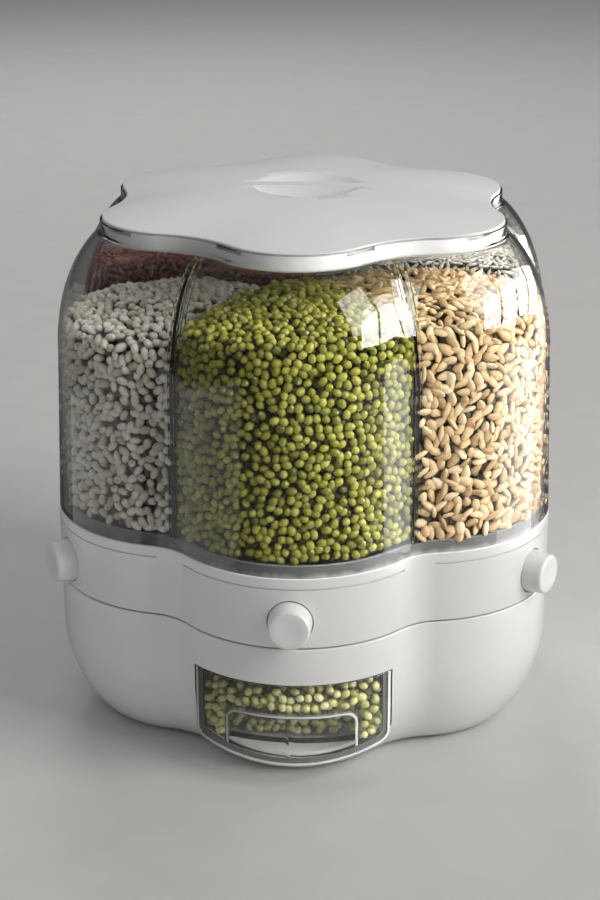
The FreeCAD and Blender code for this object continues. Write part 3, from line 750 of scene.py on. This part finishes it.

# Painted highlights along the edges of the front plate and of the finger pocket, and a strip of painted shade behind
# the plate's edge, inside the clear plastic
pocketPaintedHighlight = fingerPocket("pocketPaintedHighlight", drawer["highlightWidth"] + 0.3, drawer["plate"] + 0.1)
carved(pocketPaintedHighlight, fingerPocket("inner", 0.3, 0), frontBarrel("barrel", drawer["plate"] + 0.1 + drawer["highlightThick"]))
carved(pocketPaintedHighlight, drawerFront("trim", -drawer["inset"] - 0.3, drawer["back"]), how="INTERSECT")
dress(pocketPaintedHighlight, paintedHighlightPlastic, "drawer")
# painted highlight: a pale strip along the plate's edge
platePaintedHighlight = drawerFront("platePaintedHighlight", -0.5, -lobeCentre)
carved(platePaintedHighlight, drawerFront("inner", -0.5 - drawer["highlightWidth"], -lobeCentre + 5, drawer["top"] + 5))
carved(platePaintedHighlight, frontBarrel("barrel", 0.5), how="INTERSECT")
carved(platePaintedHighlight, frontBarrel("barrel", drawer["plate"] - 0.5))
dress(platePaintedHighlight, paintedHighlightPlastic, "drawer")
# painted shade: a dark strip behind the plate's edge, where the sides look dark through the clear plastic
plateShade = drawerFront("plateShade", -0.9, -lobeCentre)
carved(plateShade, drawerFront("inner", -0.9 - drawer["shadeWidth"], -lobeCentre + 5, drawer["top"] + 5))
carved(plateShade, frontBarrel("barrel", drawer["plate"] - 0.45), how="INTERSECT")
carved(plateShade, frontBarrel("barrel", drawer["plate"] - 0.1))
dress(plateShade, shadePlastic, "drawer")
print("stage: drawer")

# CAD nodes that keep their shape get their finish
nodeFinish = {
    "rubber_feet": footRubber,
    "base_deck": innerPlastic,
    "glide_pads": slickPlastic,
    "pivot_screw": steel,
    "drawer_bay": innerPlastic,
    "rotor_deck": innerPlastic,
    "funnel_tray": trayPlastic,
    "partition_star": clearShell,
}
for lobe in range(outline["lobes"]):
    nodeFinish["gate_%d" % (lobe + 1)] = innerPlastic
    nodeFinish["spring_%d" % (lobe + 1)] = steel
for node, material in nodeFinish.items():
    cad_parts[node].data.materials.clear()
    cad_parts[node].data.materials.append(material)

# Grain
# in each kind, the key after spread sets the darkest painted shade on a grain's inward side
grains = {
    "mung": {"half": (2.9, 2.4, 2.3), "apart": 3.85, "tilt": 0.9, "sides": 8, "rows": 6, "taper": 0.0, "spread": 0.09, "gap": 0.03,
             "colours": ((0.11, 0.125, 0.012), (0.32, 0.32, 0.035), (0.56, 0.54, 0.11)), "eye": (0.66, 0.66, 0.43), "roughness": 0.3},
    # the drawer's mung: the same bean as above with paler colours and lighter gaps, painted light for the dim drawer
    "drawerMungPaintedLight": {"half": (2.9, 2.35, 2.25), "apart": 4.0, "tilt": 0.9, "sides": 8, "rows": 6, "taper": 0.0, "spread": 0.09, "gap": 0.14,
                   "colours": ((0.38, 0.38, 0.1), (0.7, 0.69, 0.26), (0.92, 0.9, 0.5)), "eye": (0.92, 0.92, 0.72), "roughness": 0.3},
    "seed": {"half": (4.9, 3.0, 1.45), "apart": 4.2, "tilt": 0.55, "sides": 8, "rows": 5, "taper": 0.35, "spread": 0.1, "gap": 0.08,
             "colours": ((0.44, 0.27, 0.105), (0.78, 0.56, 0.3), (0.95, 0.78, 0.51)), "eye": (0.6, 0.4, 0.18), "roughness": 0.55},
    "rice": {"half": (3.3, 1.15, 1.05), "apart": 2.75, "tilt": 0.5, "sides": 6, "rows": 5, "taper": 0.0, "spread": 0.08, "gap": 0.2,
             "colours": ((0.62, 0.6, 0.52), (0.88, 0.86, 0.79), (0.96, 0.95, 0.9)), "eye": (0.9, 0.89, 0.85), "roughness": 0.35},
    "flake": {"half": (4.2, 3.3, 1.0), "apart": 4.6, "tilt": 0.6, "sides": 8, "rows": 5, "taper": 0.2, "spread": 0.15, "gap": 0.15,
              "colours": ((0.4, 0.23, 0.07), (0.72, 0.5, 0.25), (0.92, 0.76, 0.5)), "eye": (0.93, 0.82, 0.6), "roughness": 0.45},
    "redRice": {"half": (3.0, 1.35, 1.2), "apart": 2.9, "tilt": 0.6, "sides": 6, "rows": 5, "taper": 0.0, "spread": 0.1, "gap": 0.1,
                "colours": ((0.17, 0.03, 0.025), (0.45, 0.1, 0.08), (0.72, 0.27, 0.22)), "eye": (0.62, 0.36, 0.3), "roughness": 0.4},
    "bean": {"half": (3.7, 2.45, 2.25), "apart": 4.15, "tilt": 0.9, "sides": 8, "rows": 6, "taper": 0.0, "spread": 0.1, "gap": 0.03,
             "colours": ((0.6, 0.54, 0.41), (0.93, 0.89, 0.77), (0.99, 0.97, 0.9)), "eye": (0.24, 0.15, 0.08), "roughness": 0.35},
}


def grainMaterial(name, kind):
    material, nodes, links, shader = newMaterial(name)
    tone = nodes.new("ShaderNodeAttribute")
    tone.attribute_name = "tone"
    eye = nodes.new("ShaderNodeAttribute")
    eye.attribute_name = "eye"
    shade = nodes.new("ShaderNodeAttribute")
    shade.attribute_name = "shade"
    place = nodes.new("ShaderNodeTexCoord")
    speck = nodes.new("ShaderNodeTexNoise")
    speck.inputs["Scale"].default_value = 420
    speck.inputs["Detail"].default_value = 3
    links.new(place.outputs["Object"], speck.inputs["Vector"])
    blend = nodes.new("ShaderNodeMath")
    blend.operation = "MULTIPLY_ADD"
    blend.inputs[1].default_value = 0.5
    links.new(speck.outputs["Fac"], blend.inputs[0])
    shift = nodes.new("ShaderNodeMath")
    shift.operation = "SUBTRACT"
    shift.inputs[1].default_value = 0.25
    links.new(tone.outputs["Fac"], shift.inputs[0])
    links.new(shift.outputs[0], blend.inputs[2])
    ramp = nodes.new("ShaderNodeValToRGB")
    ramp.color_ramp.elements[0].color = (*kind["colours"][0], 1)
    ramp.color_ramp.elements[1].color = (*kind["colours"][2], 1)
    middle = ramp.color_ramp.elements.new(0.5)
    middle.color = (*kind["colours"][1], 1)
    links.new(blend.outputs[0], ramp.inputs["Fac"])
    spot = nodes.new("ShaderNodeMix")
    spot.data_type = "RGBA"
    spot.inputs["B"].default_value = (*kind["eye"], 1)
    links.new(eye.outputs["Fac"], spot.inputs["Factor"])
    links.new(ramp.outputs["Color"], spot.inputs["A"])
    # painted shade: the colour is darkened by the grains' shade attribute
    darker = nodes.new("ShaderNodeMix")
    darker.data_type = "RGBA"
    darker.blend_type = "MULTIPLY"
    darker.inputs["Factor"].default_value = 1
    links.new(spot.outputs["Result"], darker.inputs["A"])
    links.new(shade.outputs["Fac"], darker.inputs["B"])
    links.new(darker.outputs["Result"], shader.inputs["Base Color"])
    relief = nodes.new("ShaderNodeBump")
    relief.inputs["Strength"].default_value = 0.25
    relief.inputs["Distance"].default_value = 0.0006
    links.new(speck.outputs["Fac"], relief.inputs["Height"])
    links.new(relief.outputs["Normal"], shader.inputs["Normal"])
    shader.inputs["Roughness"].default_value = kind["roughness"]
    return material


def seedGrain(kind):  # one grain, with a paler or darker spot at its end
    bm = bmesh.new()
    eyeLayer = bm.verts.layers.float.new("eye")
    bm.verts.layers.float.new("tone")
    # the shade layer holds painted shade, filled in where each grain is placed
    bm.verts.layers.float.new("shade")
    bmesh.ops.create_uvsphere(bm, u_segments=kind["sides"], v_segments=kind["rows"], radius=1)
    bmesh.ops.rotate(bm, cent=(0, 0, 0), matrix=Matrix.Rotation(math.radians(90), 3, "Y"), verts=bm.verts[:])
    for vert in bm.verts:
        vert[eyeLayer] = 0.9 if vert.co.x > 0.95 else 0.0
        vert.co.y *= 1 - kind["taper"] * (vert.co.x + 0.3)
    bmesh.ops.scale(bm, vec=[half * mm for half in kind["half"]], verts=bm.verts[:])
    return bm


class Heap:  # grains kept a little apart on a grid of cells
    def __init__(self, kind, seed):
        self.kind = kind
        self.random = Random(seed)
        self.cells = {}
        self.placed = []

    # light sets painted shade: the grain's brightness, lower for deeper layers
    def tryAt(self, point, normal, apart, light=1.0):
        size = self.kind["apart"]
        key = tuple(math.floor(value / size) for value in point)
        for i in (-1, 0, 1):
            for j in (-1, 0, 1):
                for k in (-1, 0, 1):
                    for other in self.cells.get((key[0] + i, key[1] + j, key[2] + k), ()):
                        if (other[0] - point[0]) ** 2 + (other[1] - point[1]) ** 2 + (other[2] - point[2]) ** 2 < apart * apart:
                            return False
        self.cells.setdefault(key, []).append(point)
        self.placed.append((point, normal, light))
        return True


def grainMesh(name, heap, material, chunk=120):
    kind = heap.kind
    seed = seedGrain(kind)
    random = heap.random
    whole = bmesh.new()
    spare = bpy.data.meshes.new("spare")
    for first in range(0, len(heap.placed), chunk):
        part = bmesh.new()
        for point, normal, light in heap.placed[first:first + chunk]:
            one = seed.copy()
            toneLayer = one.verts.layers.float["tone"]
            paintedShadeLayer = one.verts.layers.float["shade"]
            tone = min(max(random.gauss(0.5, 0.2), 0), 1)
            centre = Vector(point) * mm
            outward = Vector(normal) / (kind["half"][2] * mm)
            lean = Euler((random.gauss(0, kind["tilt"]), random.gauss(0, kind["tilt"]) * 0.6, random.uniform(0, math.tau)))
            facing = Vector(normal).to_track_quat("Z", "Y").to_matrix()
            scale = 1 + random.uniform(-1, 1) * kind["spread"]
            turn = facing @ Matrix.Rotation(random.uniform(0, math.tau), 3, "Z") @ lean.to_matrix()
            bmesh.ops.transform(one, matrix=Matrix.Translation(centre) @ turn.to_4x4() @ Matrix.Scale(scale, 4), verts=one.verts[:])
            # painted shade: each grain darker on its side towards the depth of the heap, down to its kind's darkest
            # value, and dimmed for a deeper layer
            for vert in one.verts:  # darker towards the depth of the heap
                vert[toneLayer] = tone
                vert[paintedShadeLayer] = light * min(max(0.68 + 0.65 * (vert.co - centre).dot(outward), kind["gap"]), 1)
            one.to_mesh(spare)
            one.free()
            part.from_mesh(spare)
        part.to_mesh(spare)
        part.free()
        whole.from_mesh(spare)
    bpy.data.meshes.remove(spare)
    seed.free()
    piece = finished(name, whole, sharp=180, recalculate=False)
    piece.data.materials.append(material)
    return piece


filling = {
    "bottom": 133.4,
    "sideGap": 1.5,       # partition's middle to the grain
    "layers": 2,
    "crowding": 9,        # tries for each grain's own area
    "lobes": (            # height at the wall and rise of the heap's middle
        ("mung", 252.5, 9.0),
        ("seed", 250.0, 10.0),
        ("rice", 256.0, 7.0),
        ("flake", 252.0, 7.0),
        ("redRice", 254.0, 6.0),
        ("bean", 240.0, 14.0),
    ),
}


def heapHeight(x, y, level, mound):  # x and y from the axis, with the lobe facing the front
    away = (x * x + (y + lobeCentre) ** 2) / 72.0 ** 2
    ripple = 1.1 * math.sin(x * 0.16 + level) * math.sin(y * 0.13 + 2 * level)
    return level + mound * (1 - away) + ripple


def fillLobe(lobe, kindName, level, mound):
    kind = grains[kindName]
    heap = Heap(kind, 100 + lobe)
    random = heap.random
    flat = kind["half"][2]
    across = kind["apart"]
    lobeLength = math.radians(2 * lobeHalf) * outline["lobeRadius"]
    filletLength = math.radians(filletHalf) * outline["filletRadius"]
    wallLength = lobeLength + 2 * filletLength
    sideSlope = math.tan(halfStep)

    def clearOfSides(x, y, room):
        return abs(x) < -y * sideSlope - room / math.cos(halfStep)

    def onWall(depth, z):  # a random place this deep behind the wall, and the wall's direction there
        inside, lean = wallInside(z)
        offset = inside - depth / math.cos(lean)
        along = random.uniform(-wallLength / 2, wallLength / 2)
        if abs(along) < lobeLength / 2:
            angle = along / outline["lobeRadius"]
            reach = outline["lobeRadius"] + offset
            x, y = reach * math.sin(angle), -lobeCentre - reach * math.cos(angle)
            outX, outY = math.sin(angle), -math.cos(angle)
        else:
            hand = 1 if along > 0 else -1
            turn = (abs(along) - lobeLength / 2) / outline["filletRadius"]
            angle = halfStep + math.pi + math.radians(filletHalf) - turn
            reach = outline["filletRadius"] - offset
            x = hand * (filletCentre * math.sin(halfStep) + reach * math.sin(angle))
            y = -filletCentre * math.cos(halfStep) - reach * math.cos(angle)
            outX, outY = -hand * math.sin(angle), math.cos(angle)
        return x, y, (outX * math.cos(lean), outY * math.cos(lean), math.sin(lean))

    for layer in range(filling["layers"]):
        depth = flat + 0.15 + layer * across * 0.72
        apart = across * (1.0 if layer == 0 else 0.94)
        # painted shade: the deeper layer's grains at a fifth of the outer layer's brightness
        light = 1.0 if layer == 0 else 0.2
        area = across * across
        tall = level + mound - filling["bottom"]
        for attempt in range(int(wallLength * tall / area * filling["crowding"])):
            z = random.uniform(filling["bottom"] + flat, level + mound)
            x, y, out = onWall(depth + random.uniform(0, 0.5), z)
            if z < heapHeight(x, y, level, mound) - flat and clearOfSides(x, y, filling["sideGap"] + flat):
                heap.tryAt((x, y, z), out, apart, light)
        for attempt in range(int(11500 / area * filling["crowding"])):
            share = math.sqrt(random.random())
            x, y, out = onWall(depth, level)
            x, y = x * share, y * share
            z = heapHeight(x, y, level, mound) - depth + random.uniform(-0.5, 0.7)
            inside, lean = wallInside(z)
            reach = outline["lobeRadius"] + inside - depth / math.cos(lean)
            if clearOfSides(x, y, filling["sideGap"] + flat) and math.hypot(x, min(y + lobeCentre, 0)) < reach:
                heap.tryAt((x, y, z), (0.0, 0.0, 1.0), apart, light)
        for attempt in range(int(2 * 130 * 22 / area * filling["crowding"])):
            hand = random.choice((-1, 1))
            away = random.uniform(12, 125)
            side = filling["sideGap"] + depth
            x = hand * (away * math.sin(halfStep) - side * math.cos(halfStep))
            y = -away * math.cos(halfStep) - side * math.sin(halfStep)
            z = heapHeight(x, y, level, mound) - flat - random.uniform(0, 22)
            heap.tryAt((x, y, z), (hand * math.cos(halfStep), math.sin(halfStep), 0.0), apart, light)
    turn = math.radians(lobe * lobeStep)
    turned = []
    for point, normal, light in heap.placed:
        spot = Vector(point)
        spot.rotate(Euler((0, 0, turn)))
        facing = Vector(normal)
        facing.rotate(Euler((0, 0, turn)))
        turned.append((spot[:], facing[:], light))
    heap.placed = turned
    name = "grain%d" % (lobe + 1)
    piece = grainMesh(name, heap, grainMaterials[kindName])
    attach(piece, "rotor")
    print("grain", lobe + 1, kindName, len(heap.placed), "pieces", len(piece.data.polygons), "faces")
    core = grainCore("grainCore%d" % (lobe + 1), lobe, level, mound, kindName)
    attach(core, "rotor")
    return piece


# painted shade: the core's colour is the grain's darkest colour dimmed to 0.12
def coreMaterial(name, kind):
    dark = [value * 0.12 for value in kind["colours"][0]]
    return plastic(name, dark, 0.8, bump=0.5, mottle=0.6, specular=0.1)


# the dark body stands for grain deep in the heap; its darkness is painted shade
def grainCore(name, lobe, level, mound, kindName):  # dark body of grain behind the outer layers
    kind = grains[kindName]
    deep = kind["apart"] * 1.35 + 1.2
    radius = outline["lobeRadius"] + wallInside(level)[0] - deep
    bm = bmesh.new()
    bmesh.ops.create_circle(bm, cap_ends=True, cap_tris=False, segments=72, radius=radius * mm)
    bmesh.ops.translate(bm, vec=(0, -lobeCentre * mm, (filling["bottom"] + 0.5) * mm), verts=bm.verts[:])
    for hand in (-1, 1):
        out = Vector((hand * math.cos(halfStep), math.sin(halfStep), 0))
        bmesh.ops.bisect_plane(bm, geom=bm.verts[:] + bm.edges[:] + bm.faces[:], plane_co=out * -(filling["sideGap"] + deep) * mm,
                               plane_no=out, clear_outer=True)
    face = bm.faces[:]
    grown = bmesh.ops.extrude_face_region(bm, geom=face)["geom"]
    upper = [item for item in grown if isinstance(item, bmesh.types.BMVert)]
    bmesh.ops.translate(bm, vec=(0, 0, 0.02), verts=upper)
    top = [item for item in grown if isinstance(item, bmesh.types.BMFace)]
    bmesh.ops.inset_region(bm, faces=top, thickness=14 * mm)
    bmesh.ops.inset_region(bm, faces=top, thickness=12 * mm)
    for vert in bm.verts:
        if vert.co.z > (filling["bottom"] + 10) * mm:
            vert.co.z = (heapHeight(vert.co.x / mm, vert.co.y / mm, level, mound) - deep) * mm
    bmesh.ops.rotate(bm, cent=(0, 0, 0), matrix=Matrix.Rotation(math.radians(lobe * lobeStep), 3, "Z"), verts=bm.verts[:])
    piece = finished(name, bm)
    piece.data.materials.append(coreMaterials[kindName])
    return piece


grainMaterials = {name: grainMaterial(name + "Skin", kind) for name, kind in grains.items()}
# the Depth materials colour the cores with painted shade
coreMaterials = {name: coreMaterial(name + "Depth", kind) for name, kind in grains.items()}
for lobe, (kindName, level, mound) in enumerate(filling["lobes"]):
    fillLobe(lobe, kindName, level, mound)
print("stage: grain")

# Grain in the drawer
portion = {
    "half": 48.7,
    "front": 74.0,        # from the centre of the front lobe
    "back": -52.3,
    "low": 19.5,
    "cornerLow": 27.0,
    "level": 59.5,
    "pocketHalf": 36.8,
    "pocketTop": 44.8,
    "pocketBack": -127.7,
}


def portionRoom(x, y, z):  # distance to the nearest wall, negative outside
    floorLevel = portion["low"] + (portion["cornerLow"] - portion["low"]) * (x / portion["half"]) ** 2
    pocket = max(abs(x) - portion["pocketHalf"], z - portion["pocketTop"], y - portion["pocketBack"])
    return min(
        portion["half"] - abs(x),
        portion["front"] - math.hypot(x, y + lobeCentre),
        portion["back"] - y,
        z - floorLevel,
        pocket,
    )


def fillDrawer():
    kind = grains["drawerMungPaintedLight"]
    heap = Heap(kind, 77)
    random = heap.random
    flat = kind["half"][2]
    across = kind["apart"]
    for layer in range(2):
        low = flat + layer * across * 0.72
        for attempt in range(60000):
            x = random.uniform(-portion["half"], portion["half"])
            y = random.uniform(-151, portion["back"])
            z = random.uniform(portion["low"], portion["level"])
            room = portionRoom(x, y, z)
            top = portion["level"] - z + 1.5 * math.sin(x * 0.1) * math.cos(y * 0.12)
            nearest = min(room, top)
            if low <= nearest < low + 0.6:
                normal = (0.0, 0.0, 1.0) if top < room else (0.0, -1.0, 0.0)
                # painted shade: the deeper layer's grains at 0.35 of the outer layer's brightness
                heap.tryAt((x, y, z), normal, across * (1.0 if layer == 0 else 0.93), 1.0 if layer == 0 else 0.35)
    piece = grainMesh("drawerGrain", heap, grainMaterials["drawerMungPaintedLight"])
    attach(piece, "drawer")
    print("drawer grain", len(heap.placed))


fillDrawer()
print("stage: drawer grain")

# Camera
lens = bpy.data.cameras.new("camera")
lens.lens = 76.454
lens.sensor_width = 36
lens.clip_start = 0.05
lens.clip_end = 60
camera = bpy.data.objects.new("camera", lens)
camera.location = (0.065838, -1.075301, 0.549215)
camera.rotation_euler = [math.radians(angle) for angle in (69.338, 0.138, 3.684)]
scene.collection.objects.link(camera)
scene.camera = camera

# Floor
floorMesh = bmesh.new()
bmesh.ops.create_grid(floorMesh, x_segments=1, y_segments=1, size=8)
floor = finished("floor", floorMesh, recalculate=False)
floorFinish = plastic("floorFinish", (0.62, 0.61, 0.595), 0.42, bump=0.0, mottle=0.04, specular=0.15)
nodes = floorFinish.node_tree.nodes
links = floorFinish.node_tree.links
shader = nodes["Principled BSDF"]
path = nodes.new("ShaderNodeLightPath")
dim = nodes.new("ShaderNodeMix")  # mirrored in the clear plastic it is as dark as a worktop
dim.data_type = "RGBA"
dim.blend_type = "MULTIPLY"
dim.inputs["B"].default_value = (0.3, 0.3, 0.3, 1)
direct = nodes.new("ShaderNodeMath")
direct.operation = "LESS_THAN"
direct.inputs[1].default_value = 0.5
mirrored = nodes.new("ShaderNodeMath")
mirrored.operation = "MULTIPLY"
links.new(path.outputs["Diffuse Depth"], direct.inputs[0])
links.new(path.outputs["Is Glossy Ray"], mirrored.inputs[0])
links.new(direct.outputs[0], mirrored.inputs[1])
links.new(mirrored.outputs[0], dim.inputs["Factor"])
links.new(shader.inputs["Base Color"].links[0].from_socket, dim.inputs["A"])
links.new(dim.outputs["Result"], shader.inputs["Base Color"])
floor.data.materials.append(floorFinish)

# Lamps
lamps = {
    "key": {"place": (1.93, -0.8, 1.4), "size": 1.2, "power": 40.0, "colour": (1.0, 0.985, 0.965)},
    "back": {"place": (-0.5, 2.2, 1.7), "size": 1.0, "power": 18.0, "colour": (1.0, 0.99, 0.98)},
}
for name, lamp in lamps.items():
    light = bpy.data.lights.new(name, "AREA")
    light.shape = "SQUARE"
    light.size = lamp["size"]
    light.energy = lamp["power"]
    light.color = lamp["colour"]
    holder = bpy.data.objects.new(name, light)
    holder.location = lamp["place"]
    holder.rotation_euler = (Vector((0, 0, 0.15)) - Vector(lamp["place"])).to_track_quat("-Z", "Y").to_euler()
    holder.visible_glossy = False
    scene.collection.objects.link(holder)

# Bright window and floor patches that show only as reflections
gleams = {
    "windowAway": 1.9,
    "columns": (          # near and far edge of each pane, as (place, height) at its top, middle and foot
        (((-0.88, 1.2), (-0.95, 1.06), (-1.2, 0.56)), ((-0.28, 1.3), (-0.18, 1.03), (-0.53, 0.44))),
        (((-0.2, 1.29), (-0.1, 1.02), (-0.45, 0.43)), ((0.48, 1.17), (0.62, 0.9), (0.17, 0.39))),
        (((0.56, 1.15), (0.7, 0.88), (0.25, 0.38)), ((1.5, 0.83), (1.44, 0.65), (0.64, 0.28))),
        (((1.6, 0.8), (1.5, 0.52), (0.72, 0.26)), ((3.0, 0.3), (2.4, 0.2), (1.5, 0.02))),
    ),
    "paneLight": (7.0, 19.0),
    "patches": (
        ("gleamRight", ((0.4, -0.2), (2.8, -0.52), (2.8, 0.3), (0.97, 0.45), (0.39, 0.05)), 4.0),
        ("gleamLeft", ((-0.3, -0.4), (-0.365, 0.036), (-0.687, 0.242), (-1.32, -1.375)), 0.7),
    ),
}


def gleam(name, corners, strength, side):  # shines on one side only
    bm = bmesh.new()
    face = bm.faces.new([bm.verts.new(corner) for corner in corners])
    face.normal_update()
    if face.normal.dot(side) < 0:
        face.normal_flip()
    piece = finished(name, bm, recalculate=False)
    material = bpy.data.materials.new(name)
    material.use_nodes = True
    nodes, links = material.node_tree.nodes, material.node_tree.links
    glow = nodes.new("ShaderNodeEmission")
    glow.inputs["Strength"].default_value = strength
    geometry = nodes.new("ShaderNodeNewGeometry")
    passing = nodes.new("ShaderNodeBsdfTransparent")
    choose = nodes.new("ShaderNodeMixShader")
    links.new(geometry.outputs["Backfacing"], choose.inputs["Fac"])
    links.new(glow.outputs["Emission"], choose.inputs[1])
    links.new(passing.outputs["BSDF"], choose.inputs[2])
    links.new(choose.outputs["Shader"], nodes["Material Output"].inputs["Surface"])
    piece.data.materials.append(material)
    piece.visible_camera = False
    piece.visible_diffuse = False
    piece.visible_transmission = False
    piece.visible_shadow = False


for k, (near, far) in enumerate(gleams["columns"]):
    for j, strength in enumerate(gleams["paneLight"]):
        corners = [near[j], far[j], far[j + 1], near[j + 1]]
        gleam("pane%d%d" % (k, j), [(gleams["windowAway"], y, z) for y, z in corners], strength, Vector((-1, 0, 0)))
for name, corners, strength in gleams["patches"]:
    gleam(name, [(x, y, 0.002) for x, y in corners], strength, Vector((0, 0, 1)))

# Even light from all round, dimmer where it shows in glossy and clear surfaces
world = bpy.data.worlds.new("world")
world.use_nodes = True
nodes, links = world.node_tree.nodes, world.node_tree.links
surround = {"light": 0.33, "shown": 0.07}
sky = nodes["Background"]
sky.inputs["Color"].default_value = (0.98, 0.99, 1.0, 1)
path = nodes.new("ShaderNodeLightPath")
shown = nodes.new("ShaderNodeMath")
shown.operation = "MAXIMUM"
level = nodes.new("ShaderNodeMapRange")
level.inputs["To Min"].default_value = surround["light"]
level.inputs["To Max"].default_value = surround["shown"]
direct = nodes.new("ShaderNodeMath")  # 1 until the ray has met a dull surface
direct.operation = "LESS_THAN"
direct.inputs[1].default_value = 0.5
mirrored = nodes.new("ShaderNodeMath")
mirrored.operation = "MULTIPLY"
links.new(path.outputs["Diffuse Depth"], direct.inputs[0])
links.new(path.outputs["Is Glossy Ray"], shown.inputs[0])
links.new(path.outputs["Is Transmission Ray"], shown.inputs[1])
links.new(shown.outputs[0], mirrored.inputs[0])
links.new(direct.outputs[0], mirrored.inputs[1])
links.new(mirrored.outputs[0], level.inputs["Value"])
links.new(level.outputs["Result"], sky.inputs["Strength"])
scene.world = world
scene.view_settings.view_transform = "Standard"
print("stage: floor and lamps")
